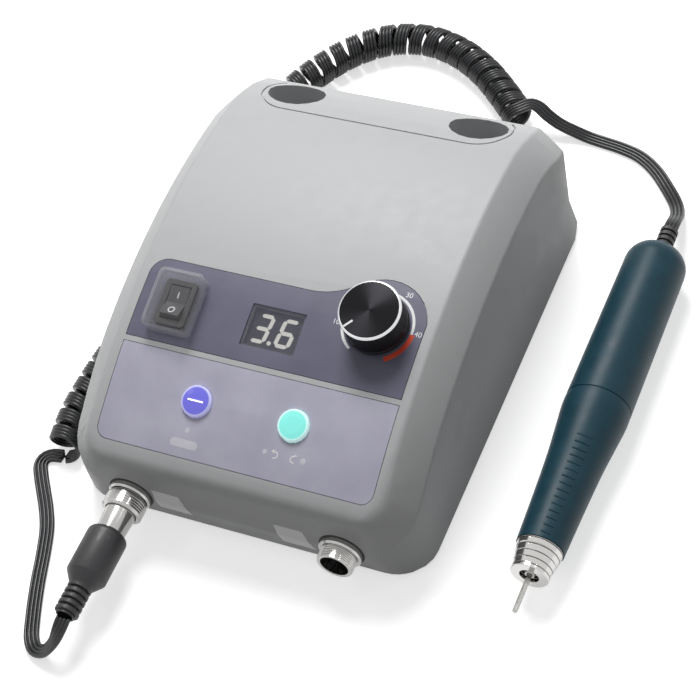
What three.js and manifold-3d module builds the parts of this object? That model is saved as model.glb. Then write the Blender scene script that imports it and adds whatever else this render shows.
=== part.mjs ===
// A desktop dental micromotor: a control box with two rest cups, and its motor handpiece lying
// beside it on a curly flat cord. Millimetres, +Z up, the front of the box faces -Y, z = 0 is
// the desk, and the origin lies under the middle of the box and the handpiece together.
import * as THREE from "three";
import { mergeVertices } from "three/addons/utils/BufferGeometryUtils.js";
import Module from "manifold-3d";

const wasm = await Module();
wasm.setup();

// Clearances, cutting overrun and the fineness of round pieces
const GAP = 0.3;
const DECK_SAG = 0.7;
const OVERRUN = 2;
const MERGE = 1e-3;
const FINE = 32;
const ROUND = 24;
const PLAIN = 16;
const COARSE = 10;
const TOP = Math.PI / 2;

// Housing: overall form
const FOOT_HEIGHT = 2.5;
const BOX_DEPTH = 214;
const BOX_HEIGHT = 82.5;
const BASE_HALF_WIDTH = 85;
const WALL_HALF_WIDTH = 82;
const DECK_HALF_WIDTH = 70;
const SKIRT_TOP = 17.5;
const FRONT_LEAN = 3.4;
const LEAN_FADE = 47;
const WALL = 2.5;
const FRONT = -BOX_DEPTH / 2;
const BACK = BOX_DEPTH / 2;

// Housing: the arched deck, its rear slope and the fillets at both ends
const DECK_RADIUS = 268;
const APEX_FROM_FRONT = 142.25;
const APEX_Y = FRONT + APEX_FROM_FRONT;
const DECK_CENTRE_Z = BOX_HEIGHT - DECK_RADIUS;
const BROW_RADIUS = 8;
const RIDGE_FROM_BACK = 33.75;
const RIDGE_Y = BACK - RIDGE_FROM_BACK;
const REAR_RADIUS = 90;
const REAR_SLOPE = THREE.MathUtils.degToRad(15);
const TAIL_RADIUS = 6;

// Housing: the sloping band down both sides and the rounding of the corners seen from above
const BAND_DROP = 12.7;
const BAND_DROP_FRONT = 17;
const BAND_SWELL = 55;
const ARRIS_RADIUS = 2.5;
const ARRIS_RADIUS_FRONT = 8;
const CREASE_RADIUS = 3;
const LEAST_RADIUS = 0.5;
const FRONT_CORNER = 18;
const FRONT_DECK_CORNER = 10;
const REAR_CORNER = 8;
const REAR_DECK_CORNER = 5;
const OUTSIDE_SECTIONS = [4, 3, 13, 3, 3];
const INSIDE_SECTIONS = [2, 2, 7, 2, 2];

// Rest cups at the rear, and the groove that runs from one round to the other
const CUP_X = 45.7;
const CUP_FROM_BACK = 16;
const CUP_Y = BACK - CUP_FROM_BACK;
const CUP_HALF_WIDTH = 14;
const CUP_HALF_DEPTH = 11.2;
const CUP_FLOOR_Z = 32;
const CUP_WALL = 2.2;
const GROOVE_RADIUS = 16;
const GROOVE_WIDTH = 0.9;
const GROOVE_DEPTH = 0.8;

// Base plate, feet and the screws that hold it
const PLATE = 2.5;
const PLATE_Z = FOOT_HEIGHT;
const POST_X = 70;
const POST_INSET = 15;
const POST_RADIUS = 4;
const SCREW_RADIUS = 1.5;
const SCREW_LENGTH = 12;
const SCREW_HEAD_RADIUS = 3;
const SCREW_HEAD = 1.8;
const FOOT_X = 66;
const FOOT_INSET = 31;
const FOOT_RADIUS = 8;
const FOOT_STEM_RADIUS = 2.5;
const FOOT_BARB_RADIUS = 3.4;
const FOOT_BARB = 2;
const FOOT_CHAMFER = 0.8;
const VENT_COUNT = 7;
const VENT_LENGTH = 26;
const VENT_WIDTH = 3;
const VENT_PITCH = 8;
const VENT_FROM_BACK = 70;

// Printed panels sunk in the deck
const PANEL = 0.8;
const PANEL_HALF_WIDTH = 65.4;
const PANEL_CORNER = 5;
const LOWER_FRONT = 8;
const LOWER_REAR = 47.4;
const UPPER_FRONT = 50.2;
const UPPER_REAR = 86.7;
const UPPER_CORNER = 8;
const LOBE_RADIUS = 21.2;
const SWEEP_RADIUS = 34;

// Controls on the deck: places measured from the middle and from the front
const SWITCH_X = -46.5;
const SWITCH_Y = FRONT + 67;
const DISPLAY_X = 0;
const DISPLAY_Y = FRONT + 66.3;
const KNOB_X = 44.8;
const KNOB_Y = FRONT + 78.2;
const BUTTON_X = 23;
const BUTTON_Y = FRONT + 30.1;

// Power switch with its clear cover
const SWITCH_BODY_WIDTH = 12.6;
const SWITCH_BODY_LENGTH = 18.8;
const SWITCH_BODY_DEPTH = 16;
const SWITCH_BEZEL_WIDTH = 15;
const SWITCH_BEZEL_LENGTH = 21;
const SWITCH_BEZEL = 1.6;
const ROCKER_WIDTH = 9.2;
const ROCKER_REACH = 7.2;
const ROCKER_RISE = 3.2;
const ROCKER_PLAY = 0.4;
const ROCKER_TILT = THREE.MathUtils.degToRad(10);
const ROCKER_PIN_RADIUS = 1.2;
const ROCKER_PIN = 1;
const TERMINAL_WIDTH = 4.8;
const TERMINAL_LENGTH = 8;
const TERMINAL = 0.8;
const COVER_WIDTH = 22;
const COVER_LENGTH = 28;
const COVER_HEIGHT = 8;
const COVER_WALL = 1;
const COVER_CORNER = 3;
const COVER_BASE = 0.8;
const COVER_SHOULDER = 1.4;

// Speed display
const WINDOW_WIDTH = 25.5;
const WINDOW_LENGTH = 19.4;
const WINDOW = 0.8;
const WINDOW_LEDGE = 1;
const DIGITS_HEIGHT = 8;

// Speed knob and its potentiometer
const KNOB_RADIUS = 14.15;
const KNOB_HEIGHT = 15.5;
const KNOB_CLEARANCE = 0.9;
const KNOB_CHAMFER = 1.2;
const KNOB_DRAFT = 0.3;
const KNOB_SKIRT = 1.6;
const KNOB_HOLLOW_RADIUS = 10;
const KNOB_HOLLOW = 6;
const KNOB_TOP = 2.2;
const POINTER_WIDTH = 1;
const POINTER_LENGTH = 4.5;
const POINTER_DEPTH = 0.5;
const POINTER_ANGLE = THREE.MathUtils.degToRad(-130);
const SHAFT_RADIUS = 3;
const SHAFT_PLAY = 0.1;
const SHAFT_FLAT = 1.2;
const BUSHING_RADIUS = 3.6;
const BUSHING_RISE = 5;
const POT_NUT_RADIUS = 5.8;
const POT_NUT = 2;
const POT_RADIUS = 8.3;
const POT_DEPTH = 8;
const POT_LUG_WIDTH = 12;
const POT_LUG_LENGTH = 8;
const POT_LUG = 1.6;

// Push buttons and the switches under them
const BUTTON_RADIUS = 7;
const BUTTON_PLAY = 0.35;
const BUTTON_RISE = 1.5;
const BUTTON_CROWN = 0.5;
const BUTTON_FLANGE = 1.2;
const BUTTON_FLANGE_WIDTH = 1.3;
const BUTTON_STEM_RADIUS = 2;
const BUTTON_TRAVEL = 0.6;
const TACT_WIDTH = 6;
const TACT_HEIGHT = 2.6;
const TACT_PLUNGER_RADIUS = 1.75;
const TACT_PLUNGER = 0.9;

// Control board under the deck
const BOARD_Y = FRONT + 47;
const BOARD_DROP = 13;
const BOARD_WIDTH = 62;
const BOARD_LENGTH = 66;
const BOARD = 1.6;
const BOSS_RADIUS = 3;
const BOSS_INSET = 4;

// Mains transformer, driver board and heat sink on the base plate
const CORE_WIDTH = 57;
const CORE_DEPTH = 30;
const CORE_HEIGHT = 42;
const CORE_FLANGE = 8;
const CORE_FLANGE_THICK = 1.6;
const CORE_FROM_BACK = 62;
const CORE_LEG = 9;
const WINDING_BULGE = 9;
const DRIVER_WIDTH = 80;
const DRIVER_LENGTH = 46;
const DRIVER_FROM_FRONT = 54;
const DRIVER_STANDOFF = 5;
const STANDOFF_RADIUS = 3;
const CAPACITOR_RADIUS = 8;
const CAPACITOR_HEIGHT = 20;
const SINK_WIDTH = 40;
const SINK_HEIGHT = 16;
const SINK_FIN = 1.4;
const SINK_FIN_LENGTH = 9;
const SINK_FINS = 7;
const SINK_BASE = 2.4;

// Mains inlet in the rear wall
const INLET_Z = 25;
const INLET_WIDTH = 27;
const INLET_HEIGHT = 19.5;
const INLET_DEPTH = 20;
const INLET_FLANGE_WIDTH = 31;
const INLET_FLANGE_HEIGHT = 24;
const INLET_FLANGE = 2;
const INLET_CORNER = 2;
const INLET_WALL = 1.5;
const INLET_RECESS = 16;
const INLET_PIN_WIDTH = 4;
const INLET_PIN_THICK = 2;
const INLET_PIN_PITCH = 7;
const INLET_PIN_OFFSET = 2;
const INLET_PIN_SHORT = 5;

// Round screw-ring sockets in the front wall
const SOCKET_X = 50.9;
const SOCKET_Z = 19;
const THREAD_RADIUS = 8;
const SOCKET_BORE = 6.5;
const SOCKET_REACH = 8.6;
const SOCKET_FLANGE_RADIUS = 9.9;
const SOCKET_FLANGE = 2.7;
const SOCKET_FLANGE_BEVEL = 0.8;
const SOCKET_PAD = 5;
const SOCKET_PAD_RIM = 0.8;
const SOCKET_TAIL = 4.5;
const SOCKET_BORE_DEPTH = 11;
const SOCKET_NUT_RADIUS = 10.4;
const SOCKET_NUT = 2.5;
const PIN_CIRCLE = 3.6;
const PIN_RADIUS = 0.75;
const PIN_RECESS = 4.6;
const PIN_TAIL = 5;

// Plug on the end of the cord
const RING_RADIUS = 9.3;
const RING_LAP = 5.1;
const RING_LIP = 0.9;
const RING_BEVEL = 0.9;
const COLLAR = 0.8;
const BARREL_RADIUS = 7.2;
const BARREL_WALL = 0.8;
const BARREL_END = 21.8;
const BARREL_REAR_RADIUS = 6.6;
const BARREL_TAIL = 14;
const BARREL_TAIL_RADIUS = 5.6;
const INSERT_LENGTH = 14;
const INSERT_RADIUS = 6.1;
const BOOT_RADIUS = 9.25;
const BOOT_ROUND = 3;
const BOOT_BODY = 22.9;
const BOOT_CONE = 5.3;
const RIB_RADIUS = 5.5;
const RIB_TAPER = 0.35;
const RIB_NECK = 4.2;
const RIB_PITCH = 3;
const RIB_SHARE = 0.6;
const BOOT_RIBS = 5;

// Handpiece: where it lies and its outer form, lengths counted from the parting line
const HANDPIECE_FROM_BOX = 45;
const HANDPIECE_RADIUS = 15;
const PARTING_Y = -0.4;
const CASE_LENGTH = 91.5;
const CASE_WALL = 1.7;
const CASE_END_ROUND = 11;
const CASE_DRAFT = 0.6;
const GRIP_LENGTH = 76.5;
const GRIP_FULL = 6;
const GRIP_WAIST_AT = 31;
const GRIP_WAIST_RADIUS = 12.7;
const GRIP_MID_AT = 50;
const GRIP_MID_RADIUS = 11.7;
const GRIP_END_RADIUS = 10.7;
const GRIP_WALL = 1.5;
const NOSE_RADIUS = 10.3;
const NOSE_LENGTH = 13.6;
const NOSE_END_RADIUS = 8.2;
const NOSE_LIP_RADIUS = 8.6;
const NOSE_LIP = 2;
const NOSE_GROOVE = 0.35;
const NOSE_GROOVE_PITCH = 3.4;
const NOSE_WALL = 2;
const NOSE_MOUTH_RADIUS = 4.4;
const NOSE_SPIGOT = 6;

// Handpiece: motor, spindle and collet inside
const CAN_CLEARANCE = 0.35;
const CAN_WALL = 1.2;
const CAN_START = 9;
const CAN_LENGTH = 62;
const MAGNET_THICK = 1.6;
const MAGNET_SHARES = [0.16, 0.7];
const ROTOR_GAP = 0.5;
const ROTOR_SHAFT_RADIUS = 1.5;
const COMMUTATOR_RADIUS = 4;
const COMMUTATOR = 6;
const BRUSH_WIDTH = 4;
const BRUSH_LENGTH = 5;
const SPINDLE_HOUSING_WALL = 1.4;
const HOUSING_FLANGE = 4;
const SPINDLE_RADIUS = 3;
const BEARING_WIDTH = 5;
const BEARING_WALL = 2.2;
const COLLET_RADIUS = 2;
const COLLET_LENGTH = 28;
const COLLET_NOSE_RADIUS = 2.7;
const COLLET_NOSE = 1.2;
const BUR_RADIUS = 1.175;
const BUR_REACH = 18;
const BUR_HELD = 20;

// Handpiece: the ribbed relief at its tail
const TAIL_RIB_RADIUS = 4.2;
const TAIL_RIB_NECK = 3.3;
const TAIL_RIBS = 4;
const TAIL_FLANGE_RADIUS = 5.6;
const TAIL_FLANGE = 2;

// Flat cord: its section, its curls and the points that it follows, chosen by hand
const CORD_WIDTH = 7;
const CORD_THICK = 2.4;
const CORD_EDGE_SHARE = 0.62;
const CORD_TIP_SHARE = 0.55;
const CURL_RADIUS = 8.25;
const CURLS = 43.5;
const CURL_STEPS = 8;
const CURL_AXIS_Z = 8.5;
const CORD_STEPS = 40;
const FRONT_CORD_ROUTE = [
  [-80.9, -169.6, 19],
  [-80.9, -171.6, 18.9],
  [-81.2, -174.4, 17.6],
  [-82.8, -177.6, 13.8],
  [-85.6, -179.8, 9.2],
  [-90.0, -181.2, 4.6],
  [-95.0, -180.3, 2.2],
  [-99.4, -175.9, 1.5],
  [-104.4, -165.0, 1.5],
  [-110.1, -150.1, 1.5],
  [-114.9, -135.6, 1.5],
  [-119.7, -123.1, 1.5],
  [-124.9, -114.0, 1.5],
  [-130.7, -105.7, 1.5],
  [-135.8, -98.4, 1.5],
  [-139.0, -92.8, 1.5],
  [-138.7, -89.0, 1.5],
  [-136.2, -86.7, 1.5],
  [-133.5, -86.1, 1.5],
  [-131.2, -85.7, 1.45],
];
const COIL_ROUTE = [
  [-128.5, -85.3],
  [-131.5, -65.8],
  [-131.3, -46.0],
  [-129.8, -26.2],
  [-128.0, -6.5],
  [-126.6, 13.3],
  [-125.9, 33.1],
  [-125.8, 52.9],
  [-125.8, 72.7],
  [-125.4, 92.5],
  [-123.8, 112.2],
  [-120.5, 131.8],
  [-115.1, 150.8],
  [-107.0, 168.9],
  [-95.6, 184.9],
  [-79.8, 196.8],
  [-60.7, 201.1],
  [-41.4, 197.0],
  [-24.1, 187.4],
  [-9.0, 174.6],
  [5.1, 160.7],
];
const REAR_CORD_ROUTE = [
  [7.0, 162.6, 15.55],
  [8.4, 164.0, 15.5],
  [10.5, 165.4, 14.9],
  [13.8, 165.6, 13.4],
  [18.6, 163.8, 10.9],
  [25.0, 162.6, 7.4],
  [33.0, 162.5, 3.9],
  [40.0, 162.0, 2.0],
  [47.5, 161.1, 1.5],
  [58.1, 159.3, 1.5],
  [68.0, 156.2, 1.5],
  [77.5, 149.8, 1.5],
  [87.0, 139.8, 1.6],
  [94.4, 129.6, 3.4],
  [98.4, 119.6, 8.2],
  [99.8, 111.0, 13.4],
  [100, 106.9, 14.9],
  [100, 103.7, 15],
];

// A three.js geometry as a closed body with shared corners and no collapsed triangles.
function closed(geometry) {
  const bare = geometry.index ? geometry.toNonIndexed() : geometry.clone();
  bare.deleteAttribute("normal");
  bare.deleteAttribute("uv");
  const merged = mergeVertices(bare, MERGE);
  const kept = [];
  for (let i = 0; i < merged.index.count; i += 3) {
    const [a, b, c] = [0, 1, 2].map((k) => merged.index.getX(i + k));
    if (a !== b && b !== c && c !== a) kept.push(a, b, c);
  }
  merged.setIndex(kept);
  return merged;
}

function solidOf(geometry) {
  const body = closed(geometry);
  const vertProperties = body.attributes.position.array;
  const triVerts = new Uint32Array(body.index.array);
  return new wasm.Manifold(new wasm.Mesh({ numProp: 3, vertProperties, triVerts }));
}

function geometryOf(solid) {
  const mesh = solid.getMesh();
  const geometry = new THREE.BufferGeometry();
  geometry.setAttribute("position", new THREE.BufferAttribute(mesh.vertProperties, 3));
  geometry.setIndex(new THREE.BufferAttribute(mesh.triVerts, 1));
  return geometry;
}

function join(...bodies) {
  return geometryOf(bodies.map(solidOf).reduce((all, body) => all.add(body)));
}

function cut(body, ...tools) {
  return geometryOf(tools.map(solidOf).reduce((left, tool) => left.subtract(tool), solidOf(body)));
}

function common(a, b) {
  return geometryOf(solidOf(a).intersect(solidOf(b)));
}

// A body turned about +Y from [radius, place along Y] pairs. The profile runs from the axis to
// the axis, or closes on itself; it is put the right way round here.
function turned(profile, segments) {
  const points = profile.map(([radius, along]) => new THREE.Vector2(radius, along));
  const area = THREE.ShapeUtils.area(points);
  if (area < 0) points.reverse();
  return closed(new THREE.LatheGeometry(points, segments));
}

// The same, turned about +Z.
function turnedUp(profile, segments) {
  return turned(profile, segments).rotateX(TOP);
}

// A block between two corners.
function block(low, high) {
  const size = high.map((value, i) => value - low[i]);
  const geometry = new THREE.BoxGeometry(...size);
  return geometry.translate(...high.map((value, i) => (value + low[i]) / 2));
}

// A block centred on x = 0 and y = 0.
function centredBlock(width, length, low, high) {
  return block([-width / 2, -length / 2, low], [width / 2, length / 2, high]);
}

function prism(shape, low, high, curveSegments = ROUND / 4) {
  const settings = { depth: high - low, bevelEnabled: false, curveSegments };
  return closed(new THREE.ExtrudeGeometry(shape, settings).translate(0, 0, low));
}

function roundedRectangle(width, length, corner) {
  const [x, y] = [width / 2, length / 2];
  const shape = new THREE.Shape();
  shape.absarc(x - corner, y - corner, corner, 0, TOP);
  shape.absarc(corner - x, y - corner, corner, TOP, 2 * TOP);
  shape.absarc(corner - x, corner - y, corner, 2 * TOP, 3 * TOP);
  shape.absarc(x - corner, corner - y, corner, 3 * TOP, 4 * TOP);
  return shape;
}

function circle(radius, x = 0, y = 0) {
  return new THREE.Shape().absarc(x, y, radius, 0, 4 * TOP);
}

function ellipse(halfWidth, halfLength, x, y) {
  return new THREE.Shape().absellipse(x, y, halfWidth, halfLength, 0, 4 * TOP);
}

// A closed body through rows of points, each row the right half of a section from top to
// bottom, mirrored to the left. The first row faces -Y and the last +Y.
function mirroredLoft(rows) {
  const half = rows[0].length;
  const around = 2 * half;
  const positions = [];
  for (const row of rows) {
    for (const point of row) positions.push(point.x, point.y, point.z);
    for (const point of [...row].reverse()) positions.push(-point.x, point.y, point.z);
  }
  const index = [];
  const quad = (a, b, c, d) => index.push(a, b, c, a, c, d);
  for (let r = 0; r + 1 < rows.length; r++) {
    for (let i = 0; i < around; i++) {
      const [here, next] = [r * around + i, r * around + ((i + 1) % around)];
      quad(here, next, next + around, here + around);
    }
  }
  const last = (rows.length - 1) * around;
  for (let i = 0; i + 1 < half; i++) {
    const mirror = around - 1 - i;
    quad(i, mirror, mirror - 1, i + 1);
    quad(last + i, last + i + 1, last + mirror - 1, last + mirror);
  }
  const geometry = new THREE.BufferGeometry();
  geometry.setAttribute("position", new THREE.Float32BufferAttribute(positions, 3));
  geometry.setIndex(index);
  return geometry;
}

// Faces turned outwards, where a body's rings happen to run the other way round.
function outwards(geometry) {
  const position = geometry.attributes.position;
  const corner = (i) => new THREE.Vector3().fromBufferAttribute(position, geometry.index.getX(i));
  let volume = 0;
  for (let i = 0; i < geometry.index.count; i += 3) {
    volume += corner(i).dot(corner(i + 1).cross(corner(i + 2)));
  }
  return volume < 0 ? turnedOver(geometry) : geometry;
}

// A closed body through rings of like point counts, with flat ends.
function ringLoft(rings) {
  const around = rings[0].length;
  const positions = rings.flat().flatMap((point) => point.toArray());
  const index = [];
  for (let r = 0; r + 1 < rings.length; r++) {
    for (let i = 0; i < around; i++) {
      const [here, next] = [r * around + i, r * around + ((i + 1) % around)];
      index.push(here, next, next + around, here, next + around, here + around);
    }
  }
  const last = (rings.length - 1) * around;
  for (let i = 1; i + 1 < around; i++) {
    index.push(0, i + 1, i);
    index.push(last, last + i, last + i + 1);
  }
  const geometry = new THREE.BufferGeometry();
  geometry.setAttribute("position", new THREE.Float32BufferAttribute(positions, 3));
  geometry.setIndex(index);
  return outwards(geometry);
}

// Housing form. Every height and half width below can be set in by an inset, all along the
// surface, so that the inside of the wall, the base plate and the groove follow the outside.
const BROW_Y = FRONT + BROW_RADIUS;
const BROW_Z = DECK_CENTRE_Z + Math.sqrt((DECK_RADIUS - BROW_RADIUS) ** 2 - (BROW_Y - APEX_Y) ** 2);
const BROW_ANGLE = Math.asin((APEX_Y - BROW_Y) / (DECK_RADIUS - BROW_RADIUS));
const RIDGE_Z = DECK_CENTRE_Z + Math.sqrt(DECK_RADIUS ** 2 - (RIDGE_Y - APEX_Y) ** 2);
const REAR_CENTRE_Y = RIDGE_Y - REAR_RADIUS * Math.sin(REAR_SLOPE);
const REAR_CENTRE_Z = RIDGE_Z - REAR_RADIUS * Math.cos(REAR_SLOPE);
const TAIL_Y = BACK - TAIL_RADIUS;
const TAIL_Z = REAR_CENTRE_Z + Math.sqrt((REAR_RADIUS - TAIL_RADIUS) ** 2 - (TAIL_Y - REAR_CENTRE_Y) ** 2);
const TAIL_ANGLE = Math.asin((TAIL_Y - REAR_CENTRE_Y) / (REAR_RADIUS - TAIL_RADIUS));

function arcHeight(y, inset) {
  if (y < RIDGE_Y) {
    return DECK_CENTRE_Z + Math.sqrt((DECK_RADIUS - inset) ** 2 - (y - APEX_Y) ** 2);
  }
  return REAR_CENTRE_Z + Math.sqrt((REAR_RADIUS - inset) ** 2 - (y - REAR_CENTRE_Y) ** 2);
}

function deckHeight(y, inset = 0) {
  const brow = BROW_RADIUS - inset;
  const tail = TAIL_RADIUS - inset;
  if (y < BROW_Y - brow * Math.sin(BROW_ANGLE)) {
    return BROW_Z + Math.sqrt(Math.max(0, brow ** 2 - (y - BROW_Y) ** 2));
  }
  if (y > TAIL_Y + tail * Math.sin(TAIL_ANGLE)) {
    return TAIL_Z + Math.sqrt(Math.max(0, tail ** 2 - (y - TAIL_Y) ** 2));
  }
  return arcHeight(y, inset);
}

function deckTilt(y) {
  return Math.asin((APEX_Y - y) / DECK_RADIUS);
}

// How far a rounded corner, seen from above, draws the side in at depth y.
function cornerDraw(y, inset, frontCorner, rearCorner) {
  const front = Math.max(LEAST_RADIUS, frontCorner - inset);
  const rear = Math.max(LEAST_RADIUS, rearCorner - inset);
  const intoFront = Math.max(0, FRONT + inset + front - y);
  const intoRear = Math.max(0, y - (BACK - inset - rear));
  const draw = (radius, into) => radius - Math.sqrt(Math.max(0, radius ** 2 - into ** 2));
  return draw(front, intoFront) + draw(rear, intoRear);
}

function blendToFront(y, reach) {
  const share = THREE.MathUtils.clamp((FRONT + reach - y) / reach, 0, 1);
  return share * share * (3 - 2 * share);
}

// The right half of the housing's section at depth y, from the deck to the bottom.
function housingRow(y, inset, bottom) {
  const swell = blendToFront(y, BAND_SWELL);
  const drop = BAND_DROP + (BAND_DROP_FRONT - BAND_DROP) * swell;
  const deckEdge = DECK_HALF_WIDTH - cornerDraw(y, 0, FRONT_DECK_CORNER, REAR_DECK_CORNER);
  const wallX = WALL_HALF_WIDTH - inset - cornerDraw(y, inset, FRONT_CORNER, REAR_CORNER);
  const outerWallX = WALL_HALF_WIDTH - cornerDraw(y, 0, FRONT_CORNER, REAR_CORNER);
  const topZ = deckHeight(y, inset);
  const creaseTop = arcHeight(y, 0) - drop;
  const slope = Math.atan2(deckHeight(y, 0) - creaseTop, outerWallX - deckEdge);
  const edgeX = deckEdge - inset * Math.tan(slope / 2);
  const creaseZ = creaseTop - inset * Math.tan((TOP - slope) / 2);
  const arris = Math.max(LEAST_RADIUS, THREE.MathUtils.lerp(ARRIS_RADIUS, ARRIS_RADIUS_FRONT, swell) - inset);
  const band = Math.atan2(topZ - creaseZ, wallX - edgeX);
  const crease = Math.max(LEAST_RADIUS, CREASE_RADIUS - inset);
  const row = [];
  const arrisBack = arris * Math.tan(band / 2);
  for (const share of [0, 1 / 3, 2 / 3, 1]) {
    const turn = band * share;
    row.push([edgeX - arrisBack + arris * Math.sin(turn), topZ - arris + arris * Math.cos(turn)]);
  }
  const creaseBack = crease * Math.tan((TOP - band) / 2);
  for (const share of [0, 1 / 2, 1]) {
    const turn = THREE.MathUtils.lerp(band, TOP, share);
    row.push([wallX - crease + crease * Math.sin(turn), creaseZ - creaseBack + crease * Math.cos(turn)]);
  }
  const flare = (BASE_HALF_WIDTH - WALL_HALF_WIDTH) / (SKIRT_TOP - FOOT_HEIGHT);
  row.push([wallX, SKIRT_TOP], [wallX + flare * (SKIRT_TOP - bottom), bottom]);
  const lean = (FRONT_LEAN / (SKIRT_TOP - FOOT_HEIGHT)) * blendToFront(y, LEAN_FADE);
  return row.map(([x, z]) => new THREE.Vector3(x, y + lean * Math.max(0, SKIRT_TOP - z), z));
}

// Depths of the housing's sections: close together round the brow and the rear edge.
function housingDepths(inset, counts) {
  const depths = [];
  const [browSteps, cornerSteps, deckSteps, rearSteps, tailSteps] = counts;
  const spread = (from, to, steps) => {
    for (let i = 0; i < steps; i++) depths.push(THREE.MathUtils.lerp(from, to, i / steps));
  };
  const brow = (angle) => BROW_Y - (BROW_RADIUS - inset) * Math.sin(angle);
  const tail = (angle) => TAIL_Y + (TAIL_RADIUS - inset) * Math.sin(angle);
  for (let i = 0; i < browSteps; i++) depths.push(brow(THREE.MathUtils.lerp(TOP, BROW_ANGLE, i / browSteps)));
  spread(brow(BROW_ANGLE), FRONT + FRONT_CORNER, cornerSteps);
  spread(FRONT + FRONT_CORNER, RIDGE_Y, deckSteps);
  spread(RIDGE_Y, tail(TAIL_ANGLE), rearSteps);
  for (let i = 0; i <= tailSteps; i++) depths.push(tail(THREE.MathUtils.lerp(TAIL_ANGLE, TOP, i / tailSteps)));
  return depths;
}

function housingForm(inset, bottom, counts = OUTSIDE_SECTIONS) {
  return mirroredLoft(housingDepths(inset, counts).map((y) => housingRow(y, inset, bottom)));
}

// A group seated on the deck at a place, with its +Z along the deck's own outward direction.
function deckSeat(x, y, ...meshes) {
  const seat = new THREE.Group();
  seat.position.set(x, y, deckHeight(y));
  seat.rotation.x = deckTilt(y);
  meshes.forEach((mesh) => seat.add(mesh));
  return seat;
}

function onDeck(geometry, x, y) {
  const seat = deckSeat(x, y);
  seat.updateMatrix();
  return geometry.clone().applyMatrix4(seat.matrix);
}

// How far below the deck at depth y, along its own direction, the control board's face lies.
function boardDepth(y) {
  const turn = deckTilt(y) - deckTilt(BOARD_Y);
  return (BOARD_DROP - DECK_RADIUS * (1 - Math.cos(turn))) / Math.cos(turn);
}

// Outlines of the two panels seen from above, grown by a margin for their recesses.
function lowerPanelOutline(margin) {
  const half = PANEL_HALF_WIDTH + margin;
  const [front, rear] = [FRONT + LOWER_FRONT - margin, FRONT + LOWER_REAR + margin];
  const corner = PANEL_CORNER + margin;
  const shape = new THREE.Shape();
  shape.moveTo(half, rear);
  shape.lineTo(-half, rear);
  shape.absarc(corner - half, front + corner, corner, 2 * TOP, 3 * TOP);
  shape.absarc(half - corner, front + corner, corner, 3 * TOP, 4 * TOP);
  return shape;
}

// The upper panel's rear edge runs straight, then sweeps up in a hollow curve to a round lobe
// about the knob.
function upperPanelOutline(margin) {
  const half = PANEL_HALF_WIDTH + margin;
  const [front, rear] = [FRONT + UPPER_FRONT - margin, FRONT + UPPER_REAR + margin];
  const lobe = LOBE_RADIUS + margin;
  const sweep = SWEEP_RADIUS - margin;
  const corner = UPPER_CORNER + margin;
  const sweepY = rear + sweep;
  const sweepX = KNOB_X - Math.sqrt((lobe + sweep) ** 2 - (sweepY - KNOB_Y) ** 2);
  const meet = Math.atan2(sweepY - KNOB_Y, sweepX - KNOB_X);
  const rightTurn = Math.acos(Math.min(1, (half - KNOB_X) / lobe));
  const shape = new THREE.Shape();
  shape.moveTo(half, front);
  shape.lineTo(half, KNOB_Y + lobe * Math.sin(rightTurn));
  shape.absarc(KNOB_X, KNOB_Y, lobe, rightTurn, meet);
  shape.absarc(sweepX, sweepY, sweep, meet - 2 * TOP, -TOP, true);
  shape.absarc(corner - half, rear - corner, corner, TOP, 2 * TOP);
  shape.lineTo(-half, front);
  return shape;
}

// The skin of the deck between two depths below it, over the whole width.
function deckSkin(above, below) {
  const deckFront = BROW_Y - BROW_RADIUS * Math.sin(BROW_ANGLE) - MERGE;
  const depths = housingDepths(0, OUTSIDE_SECTIONS).filter((y) => y > deckFront && y < RIDGE_Y);
  const edge = (inset) => depths.map((y) => new THREE.Vector2(y, arcHeight(y, inset)));
  const shape = new THREE.Shape([...edge(below), ...edge(above).reverse()]);
  const turn = new THREE.Matrix4().makeBasis(
    new THREE.Vector3(0, 1, 0),
    new THREE.Vector3(0, 0, 1),
    new THREE.Vector3(1, 0, 0),
  );
  return prism(shape, -BASE_HALF_WIDTH, BASE_HALF_WIDTH).applyMatrix4(turn);
}

function panel(outline, holes) {
  const plate = common(prism(outline, 0, BOX_HEIGHT + OVERRUN), deckSkin(0, PANEL));
  return cut(plate, ...holes);
}

// Openings that both the panel over it and the housing have at each control.
const switchHole = (margin) =>
  onDeck(
    centredBlock(
      SWITCH_BODY_WIDTH + 2 * margin,
      SWITCH_BODY_LENGTH + 2 * margin,
      -SWITCH_BODY_DEPTH,
      OVERRUN,
    ),
    SWITCH_X,
    SWITCH_Y,
  );
const windowHole = (margin) =>
  onDeck(
    centredBlock(WINDOW_WIDTH + 2 * margin, WINDOW_LENGTH + 2 * margin, -2 * WALL, OVERRUN),
    DISPLAY_X,
    DISPLAY_Y,
  );
const roundHole = (radius, x, y) => onDeck(prism(circle(radius), -2 * WALL, OVERRUN, PLAIN / 2), x, y);
const knobHole = () => roundHole(BUSHING_RADIUS + GAP, KNOB_X, KNOB_Y);
const buttonHoles = () =>
  [-BUTTON_X, BUTTON_X].map((x) => roundHole(BUTTON_RADIUS + BUTTON_PLAY, x, BUTTON_Y));

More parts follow.
